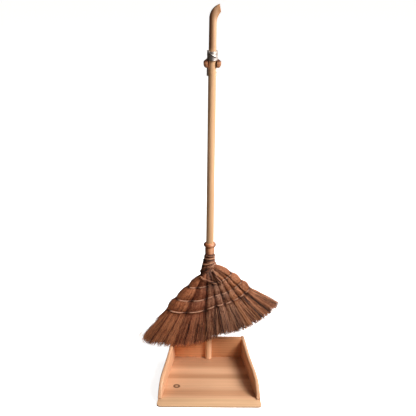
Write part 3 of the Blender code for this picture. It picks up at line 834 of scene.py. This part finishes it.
@dataclass
class Stick:
    """The broom's stick: it thins a little towards its top and ends in a crook that is cut off upright."""

    y: float = 0.0855
    foot_radius: float = 0.0107
    top_radius: float = 0.0096
    foot: float = 0.3300
    shoulder: float = 0.3663
    tenon: float = 0.0070
    outer: Arc = Arc(1.0077, 0.0383, 72.5)
    inner: Arc = Arc(0.9944, 0.0457, 40.5)
    end_ease: float = 0.0009
    unevenness: float = 0.00020
    # Places on the crook's upper left edge where shade is painted as dark spots.
    crook_shade_places: tuple[tuple[float, float], ...] = (
        (-0.0077, 1.0195), (-0.0023, 1.0302), (0.0062, 1.0387), (0.0155, 1.0435)
    )
    sides: int = 48

    def radius(self, z: float) -> float:
        """The stick's radius at a height."""
        share = (z - self.shoulder) / (self.inner.start - self.shoulder)
        return self.foot_radius + (self.top_radius - self.foot_radius) * min(max(share, 0.0), 1.0)

    def section(self, middle: np.ndarray, half: np.ndarray, deep: float, seed: float) -> np.ndarray:
        """One section, slightly uneven as hand-shaped wood is.

        Args:
            middle: The section's middle.
            half: The vector from the middle to the side that faces +X.
            deep: Half the section's depth along Y.
            seed: A number that varies slowly along the stick.

        Returns:
            The section's points.
        """
        turn = 2 * np.pi * np.arange(self.sides) / self.sides
        waves = np.sin(2 * turn + 9 * seed) + 0.6 * np.sin(3 * turn - 23 * seed)
        uneven = 1 + self.unevenness / self.top_radius * waves
        points = middle + np.outer(np.cos(turn) * uneven, half)
        points[:, 1] += deep * np.sin(turn) * uneven
        return points

    def level(self, z: float, radius: float) -> np.ndarray:
        """A level round section."""
        return self.section(np.array([0.0, self.y, z]), np.array([radius, 0.0, 0.0]), radius, z)

    def crook(self, share: float, drawn: float = 0.0) -> np.ndarray:
        """The crook's section between its two sides, drawn in at the eased end."""
        ends = []
        for side, arc in ((-1, self.outer), (1, self.inner)):
            turn = math.radians(arc.turn_deg) * share
            x = side * self.top_radius + arc.radius * (1 - math.cos(turn))
            ends.append(np.array([x, self.y, arc.start + arc.radius * math.sin(turn)]))
        half = (ends[1] - ends[0]) / 2
        half = half * (1 - drawn / float(np.linalg.norm(half)))
        return self.section((ends[0] + ends[1]) / 2, half, self.top_radius - drawn, float(ends[0][2]))

    def build(self) -> None:
        """Lofts the stick through its sections."""
        step = self.end_ease
        rings = [
            self.level(self.foot, self.tenon - step),
            self.level(self.foot + step, self.tenon),
            self.level(self.shoulder - 0.0001, self.tenon),
            self.level(self.shoulder, self.foot_radius - step),
            self.level(self.shoulder + step, self.foot_radius),
        ]
        last = self.inner.start - self.top_radius
        heights = [float(z) for z in np.linspace(self.shoulder + 4 * step, last, 64)]
        rings += [self.level(z, self.radius(z)) for z in heights]
        rings += [self.crook(share) for share in np.linspace(0.0, 0.985, 24)]
        rings += [self.crook(0.995, step * 0.35), self.crook(1.0, step)]
        skin = Skin()
        skin.add_grid(np.array(rings)[None], MIDDLE)
        wood = Wood(
            "stick_wood", paint("e6b88c"), paint("bb875a"), Grain.ALONG_Z, (-0.020, 0.155),
            ring_gap=0.0040, wobble=0.005, ring_strength=0.34,
            stripes=(
                # Painted shade: the upper stick and the crook are tinted darker, as less light bounces up to
                # them from the floor.
                Stripe(1.10, 0.20, (0.88, 0.83, 0.82), core=0.8, axis=0),
                Stripe(1.06, 0.055, (0.88, 0.82, 0.78), core=0.6, axis=0),
                # Painted highlight: a pale, cool band down the stick's left edge.
                Stripe(-0.0092, 0.0050, (1.18, 1.28, 1.42)),
                # Above the wire band: painted shade on the left side and a painted highlight on the right
                # side.
                Stripe(-0.0085, 0.0150, (0.40, 0.32, 0.27), core=0.2, start=0.93),
                Stripe(0.0085, 0.0060, (1.04, 1.12, 1.26), core=0.3, start=0.93),
            ),
            # Painted shade: dark spots along the crook's upper left edge.
            painted_shade_spots=tuple(((x, self.y, z), 0.0085, 0.75) for x, z in self.crook_shade_places),
        )
        dress(skin.build("broom_stick_shaped"), wood, "broom", "stick_wood", "broom_stick")


@dataclass
class Socket:
    """The turned socket on the stick's foot: a plain cup with a round bead at its mouth."""

    y: float = 0.0855
    bore: float = 0.0111
    small_bore: float = 0.0074
    foot: float = 0.3590
    bore_foot: float = 0.3660
    top: float = 0.3925
    bead: float = 0.0060
    bead_middle: float = 0.0114
    mouth_deep: float = 0.0016
    peg_ease: float = 0.0003
    sides: int = 48

    def build(self) -> None:
        """Turns the socket."""
        profile = [
            (self.small_bore, self.bore_foot), (self.small_bore, self.foot), (0.0120, self.foot),
            (0.0128, self.foot + 0.0008), (0.0131, 0.3640), (0.0127, 0.3646), (0.0131, 0.3652),
            (0.0132, 0.3720), (0.0130, 0.3775), (0.0126, 0.3805),
        ]
        bead_z = self.top - self.bead
        for degrees in range(-62, 118, 12):
            turn = math.radians(degrees)
            radius = self.bead_middle + self.bead * math.cos(turn)
            profile.append((radius, bead_z + self.bead * math.sin(turn)))
        profile += [(self.bore, self.top - self.mouth_deep), (self.bore, self.bore_foot)]
        turn = 2 * np.pi * np.arange(self.sides) / self.sides
        rings = [
            np.stack([r * np.cos(turn), self.y + r * np.sin(turn), z + 0 * turn], axis=-1) for r, z in profile
        ]
        skin = Skin()
        skin.add_grid(np.array(rings)[None], MIDDLE, closed=True)
        wood = Wood(
            "socket_wood", paint("eba578"), paint("a8643e"), Grain.ALONG_Z, (0.030, 0.060),
            ring_gap=0.0030, wobble=0.004, ring_strength=0.45, gloss=0.4,
            stripes=(
                Stripe(0.361, 0.004, (0.50, 0.38, 0.33), axis=0),
                # Painted shade on the left side and a painted highlight on the right side.
                Stripe(-0.0110, 0.0130, (0.58, 0.50, 0.44), core=0.2),
                Stripe(0.0070, 0.0085, (1.04, 1.20, 1.36), core=0.3),
                # Painted shade along both outer sides of the bead.
                Stripe(-0.0185, 0.0095, (0.50, 0.42, 0.36), core=0.5),
                Stripe(0.0185, 0.0095, (0.34, 0.26, 0.20), core=0.5),
                Stripe(0.386, 0.0072, (0.74, 0.66, 0.62), core=0.6, axis=0),
            ),
        )
        dress(skin.build("stick_socket_turned"), wood, "broom", "turned_wood", "stick_socket")
        wood = Wood("peg_wood", paint("a9683f"), paint("6c3a1e"), Grain.ALONG_X, (0.02, 0.30), 0.002, 0.002)
        peg = softened("socket_peg", "socket_peg_cut", self.peg_ease)
        dress(peg, wood, "broom", "turned_wood", "socket_peg")


# ---- Neck and fan ----


@dataclass
class Neck:
    """The gathered fibres below the socket and the fibre rope wound round them."""

    y: float = 0.0855
    top_z: float = 0.3585
    top_half: float = 0.0116
    foot_centre: Triple = (-0.0045, 0.0, 0.3110)
    foot_half: float = 0.0275
    foot_deep: float = 0.0150
    tilt_deg: float = 40.0
    turns: float = 5.6
    rope: float = 0.0043
    lay: float = 0.140
    sunk: float = 0.0006
    hank: float = 0.0030
    hanks: tuple[tuple[Triple, ...], ...] = (
        (
            (-0.0253, 0.0710, 0.2950), (-0.0182, 0.0665, 0.2878), (-0.0055, 0.0655, 0.2850),
            (0.0058, 0.0665, 0.2809), (0.0196, 0.0715, 0.2732),
        ),
        (
            (0.0114, 0.0720, 0.3133), (0.0183, 0.0665, 0.2989), (0.0284, 0.0662, 0.2837),
            (0.0358, 0.0705, 0.2725),
        ),
    )
    hank_lay: float = 0.05
    hank_steps: int = 40
    winding_shares: tuple[float, float] = (0.02, 0.97)
    winding_start_deg: float = 200.0
    steps_in_turn: int = 48
    line_share: float = 0.86
    line_drop: float = 0.0016
    swell_power: float = 2.2
    lean_power: float = 1.5
    fibre: float = 0.0006
    fibres: int = 90
    hair: float = 0.00028
    hairs: int = 160

    def around(self, share: np.ndarray, angle: np.ndarray, grow: np.ndarray | float) -> np.ndarray:
        """Places on the neck's skin.

        Args:
            share: How far down the neck, from 0 to 1.
            angle: The angle round it, in radians.
            grow: How far outside the skin.

        Returns:
            The places, with one more axis than the shares.
        """
        swell = share**self.swell_power
        half = self.top_half + (self.foot_half - self.top_half) * swell + grow
        deep = self.top_half + (self.foot_deep - self.top_half) * swell + grow
        lean = np.radians(self.tilt_deg) * share**self.lean_power
        x, y = half * np.cos(angle), deep * np.sin(angle)
        foot = np.array(self.foot_centre)
        return np.stack(
            [
                foot[0] * share + x * np.cos(lean),
                self.y + y,
                self.top_z + (foot[2] - self.top_z) * share + x * np.sin(lean),
            ],
            axis=-1,
        )

    def line(self, share: np.ndarray) -> np.ndarray:
        """Places along the neck's foot, from its -X end at 0 to its +X end at 1."""
        lean = math.radians(self.tilt_deg)
        reach = self.line_share * self.foot_half * (2 * share - 1)
        x = self.foot_centre[0] + reach * math.cos(lean) + self.line_drop * math.sin(lean)
        z = self.foot_centre[2] + reach * math.sin(lean) - self.line_drop * math.cos(lean)
        return np.stack([x, 0 * x + self.y, z], axis=-1)

    def gather(self, rng: np.random.Generator) -> None:
        """Makes the gathered fibres round a core that is painted dark, as shade between the fibres."""
        skin = Skin()
        share = np.linspace(0.0, 1.0, 14)[:, None]
        turn = (2 * np.pi * np.arange(40) / 40)[None]
        # Painted shade: the core under the fibres takes a dark tone.
        skin.add_grid(self.around(share + 0 * turn, turn + 0 * share, -self.fibre)[None], 0.2)
        angle = rng.uniform(0, 2 * np.pi, (self.fibres, 1))
        along = np.linspace(0.0, 1.05, 9)[None] + 0 * angle
        paths = self.around(along, angle + 0.25 * rng.normal(size=(self.fibres, 1)) * along, 0.0002)
        skin.add_tubes(paths, self.fibre, (0.3, 1.0, 0.0), 3, rng.uniform(0.1, 0.7, self.fibres))
        fibre = PalmFibre("neck_fibre", paint("24120b"), paint("5e3524"), paint("915c42"))
        dress(skin.build("neck_fibres_gathered"), fibre, "broom", "palm_fibre", "neck_fibres")

    def wind(self, rng: np.random.Generator) -> None:
        """Winds the rope, lays the hanks over the neck's foot, and frays the first turn."""
        skin = Skin()
        along = np.linspace(0.0, 1.0, int(self.turns * self.steps_in_turn))
        first, last = self.winding_shares
        share = first + (last - first) * along
        angle = 2 * np.pi * self.turns * along + math.radians(self.winding_start_deg)
        loose = 0.0004 * np.sin(5.3 * angle) + 0.0003 * np.sin(2.1 * angle + 1.0)
        path = self.around(share, angle, loose - self.sunk)
        skin.add_rope(path, (0, 0.05, 1), self.rope, self.lay, strands=3, sides=9, tones=(0.05, 0.75, 0.4))
        for points in self.hanks:
            along = np.linspace(0.0, len(points) - 1.0, self.hank_steps)
            steps = np.arange(len(points))
            path = np.stack([np.interp(along, steps, axis) for axis in np.array(points).T], axis=-1)
            for _ in range(6):
                path[1:-1] = (path[:-2] + 2 * path[1:-1] + path[2:]) / 4
            tones = (0.1, 0.55, 0.35, 0.8)
            skin.add_rope(path, (0, 1, 0), self.hank, self.hank_lay, strands=4, sides=8, tones=tones)
        start = rng.integers(0, self.hank_steps - 14, self.hairs)
        pick = start[:, None] + np.arange(0, 14, 2)[None]
        out = rng.uniform(0.0018, 0.0032, (self.hairs, 1)) + rng.normal(0, 0.0004, (self.hairs, 7))
        down = rng.normal(0, 0.0016, (self.hairs, 1))
        places = self.around(share[pick] + down * 8, angle[pick], 0.0010 + out)
        skin.add_tubes(places, self.hair, (0, 0.05, 1), 3, rng.uniform(0.3, 1.0, self.hairs))
        rope = PalmFibre("neck_rope_fibre", paint("27140c"), paint("74452f"), paint("b98363"))
        dress(skin.build("neck_rope_wound"), rope, "broom", "binding_cord", "neck_winding")

    def build(self, rng: np.random.Generator) -> None:
        """Makes the gathered fibres and winds the rope round them."""
        self.gather(rng)
        self.wind(rng)


@dataclass(frozen=True)
class Tint:
    """The colours of one bundle's fibres: in its folds, over most of it, and where it is palest."""

    dark: str
    plain: str
    pale: str


FAN_ROWS = (1, 2, 3, 4)


@dataclass
class Fan:
    """Eight fibre bundles, side by side, sewn through in three rows and free below them."""

    neck: Neck
    y: float = 0.0855
    centre: Triple = (-0.003, 0.0855, 0.352)
    edges_deg: tuple[float, ...] = (-37.0, -20.5, -2.0, 8.5, 18.5, 28.0, 37.0, 45.5, 54.0)
    tie_radii: tuple[float, float, float] = (0.082, 0.120, 0.152)
    end_radius: float = 0.249
    low_tucks_deg: tuple[float, ...] = (5.0, 1.6, 1.4, 1.0)
    high_tucks_deg: tuple[float, ...] = (2.6, 2.4, 3.0, 0.0)
    bow: float = 0.06
    long_side: float = 0.33
    long_from_deg: float = 8.0
    long_full_deg: float = -36.0
    pillow_deep: float = 0.0150
    tie_deep: float = 0.0092
    ends_deep: float = 0.0110
    tie_gap: float = 0.0016
    waist: float = 0.05
    edge_bulge: float = 0.0030
    roundness: float = 0.8
    lock_pull: float = 0.58
    sewn_contrast: float = 0.52
    # Painted shade in the valleys between bundles.
    fold_painted_shade: float = 0.36
    free_contrast: float = 1.6
    free_shade: float = 0.42
    # Painted shade on the fibres just under each tie.
    tie_painted_shade: float = 0.3
    loner_share: float = 0.17
    # Painted shade: the core under the fibres is dark.
    core_shade_tone: float = 0.12
    skin_fibres: tuple[int, int] = (26, 140)
    inner_fibres: tuple[int, int] = (44, 90)
    fibre: float = 0.00046
    cord: float = 0.0023
    cord_lay: float = 0.0085
    tints: tuple[Tint, ...] = (
        Tint("3a1a0f", "a5623f", "cc8860"),
        Tint("2c150c", "86492f", "b87756"),
        Tint("2c170e", "7d4a33", "ae7a5c"),
        Tint("2c170f", "7f4e38", "b07e62"),
        Tint("2d170e", "855238", "b68263"),
        Tint("32190e", "975a3a", "c4865e"),
        Tint("31180d", "93552f", "c07e56"),
        Tint("31190d", "8e5230", "be7c54"),
    )

    def spot(self, degrees: np.ndarray, row: np.ndarray) -> np.ndarray:
        """Places in the fan's middle plane.

        Args:
            degrees: The angle from straight down, positive towards +X.
            row: 0 at the neck, 1 to 3 at the ties, and 4 at the fibres' ends.

        Returns:
            The places, with one more axis than the angles.
        """
        degrees, row = np.broadcast_arrays(np.asarray(degrees, float), np.asarray(row, float))
        low, high = self.edges_deg[0], self.edges_deg[-1]
        side = 2 * (degrees - low) / (high - low) - 1
        low_tuck = np.interp(row, FAN_ROWS, self.low_tucks_deg)
        high_tuck = np.interp(row, FAN_ROWS, self.high_tucks_deg)
        tuck = np.where(side < 0, low_tuck, -high_tuck)
        turn = np.radians(degrees + tuck * side**2)
        ray = np.stack([np.sin(turn), 0 * turn, -np.cos(turn)], axis=-1)
        lean = (self.long_from_deg - degrees) / (self.long_from_deg - self.long_full_deg)
        stretch = 1 + self.long_side * np.clip(lean, 0.0, 1.0)
        radii = (*self.tie_radii, self.end_radius)
        base = np.interp(row, FAN_ROWS, radii) + np.maximum(row - 4, 0.0) * (radii[3] - radii[2])
        centre = np.array(self.centre)
        far = centre + ray * (base * stretch)[..., None]
        first = centre + ray * (radii[0] * stretch)[..., None]
        start = self.neck.line(np.clip((degrees - low) / (high - low), 0.0, 1.0))
        part = np.clip(row, 0.0, 1.0)[..., None]
        near = start + (first - start) * part
        near[..., 0] += (self.bow * (first[..., 0] - start[..., 0])) * np.sin(np.pi * part[..., 0])
        return np.where(row[..., None] < 1, near, far)

    def swell(self, row: np.ndarray) -> np.ndarray:
        """How full a bundle is at a row: 0 in the waist at each tie and 1 between the ties."""
        share = np.clip((row % 1 - self.waist) / (1 - 2 * self.waist), 0.0, 1.0)
        pillow = np.sin(np.pi * share) ** 0.7
        return np.where(row >= 3, np.clip((row - 3 - self.waist) * 5, 0.0, 1.0), pillow)

    def place(self, bundle: int, x: np.ndarray, depth: np.ndarray, row: np.ndarray) -> np.ndarray:
        """Places in or on a bundle.

        Args:
            bundle: The bundle's number, from 0.
            x: How far across it, from -1 to 1.
            depth: How far from front to back, from -1 to 1.
            row: The row, as spot takes it.

        Returns:
            The places.
        """
        x, depth, row = np.broadcast_arrays(x, depth, row)
        low, high = self.edges_deg[bundle], self.edges_deg[bundle + 1]
        half = np.linalg.norm(self.spot(high, row) - self.spot(low, row), axis=-1) / 2
        swell = self.swell(row)
        inset = (self.tie_gap * (1 - swell) - 0.0008) / half
        reach = x * (1 - inset)
        outward = {0: x < 0, len(self.edges_deg) - 2: x > 0}.get(bundle)
        if outward is not None:
            sewn = swell * (row < 3)
            bulge = self.edge_bulge * (sewn - 0.4 * (row < 3.2)) / half
            reach = reach + np.where(outward, x * bulge, 0.0)
        full = np.where(row < 3, self.pillow_deep, self.ends_deep)
        deep = self.tie_deep + (full - self.tie_deep) * swell
        places = self.spot(low + (high - low) * (0.5 + 0.5 * reach), row)
        places[..., 1] += deep * depth
        return places

    @staticmethod
    def pillow_tones(bundle: int) -> np.ndarray:
        """How much paler or darker each of a bundle's pillows is."""
        return 0.09 * np.sin(np.arange(5) * 2.3 + bundle * 1.7)

    def outline(self, turn: np.ndarray) -> tuple[np.ndarray, np.ndarray]:
        """A bundle's rounded section: across and depth for angles round it."""
        c, s = np.cos(turn), np.sin(turn)
        return np.sign(c) * np.abs(c) ** self.roundness, np.sign(s) * np.abs(s) ** self.roundness

    def rows(self, sewn: int, free: int) -> np.ndarray:
        """Rows from the neck to the ends: so many steps between ties, and so many below the last."""
        steps = np.linspace(0.0, 1.0, sewn, endpoint=False)
        eased = steps - 0.07 * np.sin(2 * np.pi * steps)
        return np.concatenate([k + eased for k in range(3)] + [3 + np.linspace(0.0, 1.0, free)])

    def add_fibres(self, skin: Skin, bundle: int, rng: np.random.Generator, count: int, inside: bool) -> None:
        """Adds fibres that run from the neck, or from the last tie, to their free ends.

        Args:
            skin: What they are added to.
            bundle: The bundle's number.
            rng: The source of chance.
            count: How many fibres.
            inside: Whether they fill the free brush, or lie on the bundle's skin.
        """

        def spread(scale: float, size: int = 1) -> np.ndarray:
            """Draws normal numbers for each fibre."""
            return rng.normal(0, scale, (count, size))

        rows = self.rows(5, 8)
        if inside:
            rows = rows[rows >= 2.9]
        x, depth = self.outline(rng.uniform(0, 2 * np.pi, (count, 1)))
        if inside:
            layer = np.sqrt(rng.uniform(0.05, 1.0, (count, 1)))
        else:
            layer = rng.uniform(0.955, 1.02, (count, 1))
        x, depth = x * layer, depth * layer

        locks = max(5, count // 7)
        lock_x, lock_depth = self.outline(rng.uniform(0, 2 * np.pi, locks))
        lock_layer = np.sqrt(rng.uniform(0.3 if inside else 0.8, 1.0, locks))
        lock_x, lock_depth = lock_x * lock_layer, lock_depth * lock_layer
        near = np.argmin((x - lock_x) ** 2 + 0.3 * (depth - lock_depth) ** 2, axis=1)
        free = np.clip(rows - 3, 0.0, None)[None]
        sewn = np.clip(rows, 0.0, 3.0)[None]
        pull = self.lock_pull * free**0.8
        loner = rng.random((count, 1)) < self.loner_share
        stray = spread(0.06) + np.where(loner, spread(0.38), 0)
        slant = np.where(rng.random((count, 1)) < 0.6, spread(0.24), spread(0.04))
        rate = rng.uniform(1.5, 4.0, (count, 1))
        wave = 0.02 * np.sin(rate * rows[None] + rng.uniform(0, 6.28, (count, 1)))
        drift = slant * np.sin(np.pi * sewn / 1.5 + rng.uniform(0, 3.0, (count, 1)))
        across = np.clip(x + drift * (1 - free), -1.04, 1.04) + (lock_x[near][:, None] - x) * pull + wave
        across = across + stray * free**1.3
        deep = depth + (lock_depth[near][:, None] - depth) * pull * 0.8 + spread(0.08) * free
        lengths = 0.965 + rng.normal(0.0, 0.030, locks)[near] + rng.normal(0.0, 0.040, count)
        if bundle == 0:
            lengths = lengths - 0.4 * np.clip(-x[:, 0] - 0.5, 0.0, 1.0) ** 2
        lengths = np.clip(lengths, 0.6, 1.04)[:, None]
        row = np.where(rows[None] > 3, 3 + free * lengths, rows[None])
        paths = self.place(bundle, np.clip(across, -1.3, 1.3), np.clip(deep, -1.4, 1.4), row)
        taper = 1 - 0.5 * np.clip(free, 0, 1) ** 2
        radii = self.fibre * rng.uniform(0.75, 1.3, (count, 1)) * taper
        lock_tone = rng.uniform(0.0, 1.0, locks)[near][:, None]
        tone = 0.65 * lock_tone + 0.35 * rng.uniform(0.0, 1.0, (count, 1))
        tone = np.where(loner, 0.55 + 0.5 * tone, tone)
        outward = {0: -1, len(self.edges_deg) - 2: 1}.get(bundle, 0)
        # Painted shade in the valleys between bundles, but not on the fan's outer edges.
        valley_shade = np.clip((np.abs(across) - 0.66) / 0.36, 0.0, 1.0) * (1 - free)
        valley_shade = np.where(across * outward > 0, 0.0, valley_shade)
        pillows = np.interp(rows, np.arange(5) + MIDDLE, self.pillow_tones(bundle))[None]
        calm = MIDDLE + pillows + (tone - MIDDLE) * self.sewn_contrast - self.fold_painted_shade * valley_shade
        loose = np.clip(free * 4, 0.0, 1.0)
        tones = calm * (1 - loose) + (self.free_contrast * tone - self.free_shade) * loose
        # Painted shade on the fibres just under each tie.
        tie_shadow = np.exp(-((rows - np.round(rows)) ** 2) / 0.003) * (rows > 0.5) * (rows < 3.5)
        tones = tones - self.tie_painted_shade * tie_shadow[None]
        skin.add_tubes(paths, radii, (0, 1, 0), 3, tones)

    def build_bundle(self, bundle: int, rng: np.random.Generator) -> None:
        """Makes one bundle: a core painted dark as the shade inside it, the fibres on its skin, and those
        that fill its free end.
        """
        skin = Skin()
        turn = 2 * np.pi * np.arange(28) / 28
        x, depth = self.outline(turn)
        rows = self.rows(8, 6)
        rows = np.concatenate([rows[rows <= 3], [3.1, 3.3, 3.5, 3.7, 3.91]])
        shrink = np.interp(rows, (0, 3, 3.91), (0.955, 0.955, 0.86))[:, None]
        thin = np.interp(rows, (0, 3, 3.5, 3.91), (0.955, 0.955, 0.7, 0.25))[:, None]
        grid = self.place(bundle, x[None] * shrink, depth[None] * thin, rows[:, None] + 0 * x[None])
        skin.add_grid(grid[None], self.core_shade_tone)
        wide = self.edges_deg[bundle + 1] - self.edges_deg[bundle]
        for (each, base), inside in ((self.skin_fibres, False), (self.inner_fibres, True)):
            self.add_fibres(skin, bundle, rng, int(each * wide + base), inside)
        tint = self.tints[bundle]
        colours = (paint(code) for code in (tint.dark, tint.plain, tint.pale))
        fibre = PalmFibre(f"bundle_{bundle + 1}_fibre", *colours)
        node = f"fibre_bundle_{bundle + 1}"
        dress(skin.build(f"{node}_combed"), fibre, "broom", "palm_fibre", node)

    def build_tie(self, number: int) -> None:
        """Makes one row of ties: a loop of twisted cord round each bundle."""
        skin = Skin()
        for bundle in range(len(self.edges_deg) - 1):
            low, high = self.edges_deg[bundle], self.edges_deg[bundle + 1]
            half = float(np.linalg.norm(self.spot(high, number) - self.spot(low, number))) / 2
            steps = max(48, int(4 * half / 0.0011))
            x, depth = self.outline(2 * np.pi * np.arange(steps) / steps)
            grown_x = x * (1 + 0.6 * self.cord / half)
            grown_depth = depth * (1 + 0.9 * self.cord / self.tie_deep)
            path = self.place(bundle, grown_x, grown_depth, np.full(steps, float(number)))
            middle = math.radians((low + high) / 2)
            ray = (math.sin(middle), 0.0, -math.cos(middle))
            # Painted shade: each loop of cord darkens towards the valleys between bundles.
            away_from_valley = 1 - np.clip((np.abs(x) - 0.40) / 0.40, 0.0, 1.0)
            tones = np.stack([0.02 + 0.68 * away_from_valley, 0.08 + 0.92 * away_from_valley])
            skin.add_rope(path, ray, self.cord, self.cord_lay, strands=2, sides=6, closed=True, tones=tones)
        cord = Cord(f"tie_row_{number}_cord", paint("4a2417"), paint("cf9a7c"))
        dress(skin.build(f"tie_row_{number}_twisted"), cord, "broom", "binding_cord", f"tie_row_{number}")

    def build(self, rng: np.random.Generator) -> None:
        """Makes the bundles and the rows of ties."""
        for bundle in range(len(self.edges_deg) - 1):
            self.build_bundle(bundle, rng)
        for number in (1, 2, 3):
            self.build_tie(number)


# ---- Screws ----


@dataclass
class Screws:
    """The steel screws, which stay as the frame has them and get their finish here."""

    finish: Steel = Steel("screw_steel_bright", (0.62, 0.60, 0.57), (0.42, 0.38, 0.34))

    def build(self) -> None:
        """Dresses every screw."""
        material = self.finish.material()
        for name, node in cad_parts.items():
            if "screw" in name:
                node.material_slots[0].material = material
                log.info("%s keeps its shape, in %s", name, material.name)


# ---- Studio ----


@dataclass
class Studio:
    """A pale floor, soft light from the right, and the camera."""

    camera: Triple = (-0.0405, -2.0267, 1.2344)
    pitch_deg: float = 70.7
    roll_deg: float = 0.43
    lens: float = 70.2
    shift: float = 0.0297
    key_place: Triple = (2.70, -1.70, 3.20)
    key_target: Triple = (0.0, 0.05, 0.5)
    key_size: float = 2.0
    key_watts: float = 262.0
    fill_place: Triple = (-1.0, -3.4, 1.6)
    fill_watts: float = 3.0
    rim_place: Triple = (2.4, 2.0, 2.2)
    rim_watts: float = 30.0
    small_lamp: float = 1.6
    floor_radius: float = 14.0
    floor_deep: float = 0.02
    paper: float = 0.82
    paper_glow: float = 0.85
    floor_bounce: Colour = (0.20, 0.165, 0.14)
    room_low: float = 0.03
    room_right: float = 0.15
    room_top: float = 0.07
    room_mirrored: float = 2.6
    room_seen: float = 1.2
    room_warmth: Colour = (1.0, 0.87, 0.76)
    far_clip: float = 60.0

    def add_light(self, name: str, place: Triple, size: float, watts: float) -> None:
        """Adds a square soft light that faces the object."""
        lamp = bpy.data.lights.new(name, "AREA")
        lamp.size = size
        lamp.energy = watts
        made = bpy.data.objects.new(name, lamp)
        made.location = place
        made.rotation_euler = (Vector(self.key_target) - Vector(place)).to_track_quat("-Z", "Y").to_euler()
        bpy.context.scene.collection.objects.link(made)

    def add_floor(self) -> None:
        """Adds a wide round floor, pale enough to run out into white."""
        skin = Skin()
        turn = 2 * np.pi * np.arange(96) / 96
        rings = [
            np.stack([r * np.cos(turn), r * np.sin(turn), z + 0 * turn], axis=-1)
            for r, z in ((self.floor_radius, -self.floor_deep), (self.floor_radius, 0.0))
        ]
        skin.add_grid(np.array(rings)[None], MIDDLE)
        floor = skin.build("studio_floor")
        made = bpy.data.materials.new("studio_paper")
        made.use_nodes = True
        net = Net(made.node_tree)
        seen = net.add("ShaderNodeLightPath", None, None, "Is Camera Ray")
        tooth = net.noise(net.here(), (40.0, 40.0, 40.0), 2.0)
        sockets = {
            "Base Color": net.mix(seen, self.floor_bounce, (self.paper,) * 3),
            "Roughness": 0.9,
            "Emission Color": (1.0, 1.0, 1.0),
            "Emission Strength": seen * self.paper_glow,
        }
        net.surface(sockets, tooth, 0.02, 0.0005)
        floor.data.materials.append(made)

    def add_world(self) -> None:
        """Lights the room softly, more from the right than from the left."""
        world = bpy.data.worlds.new("studio_room")
        bpy.context.scene.world = world
        world.use_nodes = True
        net = Net(world.node_tree)
        ways = net.split(net.add("ShaderNodeTexCoord", None, None, "Generated"))
        rightness = ways[0] * 0.5 + 0.5
        glow = self.room_low + rightness * self.room_right + ways[2].within(0.0, 1.0) * self.room_top
        seen = net.add("ShaderNodeLightPath", None, None, "Is Camera Ray")
        mirrored = seen.sibling("Is Glossy Ray") * ways[0].within(0.1, 0.9) * self.room_mirrored
        strength = (glow + mirrored) * (1 - seen) + seen * self.room_seen
        colour = net.mix(seen, self.room_warmth, (1.0, 1.0, 1.0))
        back = net.add("ShaderNodeBackground", None, {"Color": colour, "Strength": strength})
        net.add("ShaderNodeOutputWorld", None, {"Surface": back}, None)

    def build(self) -> None:
        """Sets up the floor, the light and the camera."""
        self.add_floor()
        self.add_world()
        self.add_light("key_light", self.key_place, self.key_size, self.key_watts)
        self.add_light("fill_light", self.fill_place, self.small_lamp, self.fill_watts)
        self.add_light("rim_light", self.rim_place, self.small_lamp, self.rim_watts)
        lens = bpy.data.cameras.new("camera")
        lens.lens = self.lens
        lens.shift_x = self.shift
        lens.clip_end = self.far_clip
        camera = bpy.data.objects.new("camera", lens)
        camera.location = self.camera
        camera.rotation_mode = "ZYX"
        camera.rotation_euler = (math.radians(self.pitch_deg), 0.0, math.radians(self.roll_deg))
        bpy.context.scene.collection.objects.link(camera)
        bpy.context.scene.camera = camera
        bpy.context.scene.view_settings.view_transform = "Standard"
        log.info("studio: floor, room light, three lamps and camera")


def main() -> None:
    """Builds the pan, the pole, the broom and the studio, in that order."""
    logging.basicConfig(level=logging.INFO, format="%(name)s: %(message)s")
    rng = np.random.default_rng(20538)
    Studio().build()
    Dustpan().build()
    PoleAndYoke().build()
    WireBand(
        "pole_wire_wound", "pole_wire_band", "pan", (0.0, 0.1155), 0.0104, 0.0160, 0.8537, 0.8812,
        shine=(0.78, 0.74, 0.72), tarnish=(0.52, 0.47, 0.45), rough=0.5,
    ).build()
    Stick().build()
    WireBand(
        "stick_wire_wound", "stick_wire_band", "broom", (0.0, 0.0855), 0.0102, 0.0144, 0.9008, 0.9268,
        crossing_deg=(-150.0, -50.0),
    ).build()
    Socket().build()
    neck = Neck()
    neck.build(rng)
    Fan(neck).build(rng)
    Screws().build()


if __name__ == "__main__":
    main()
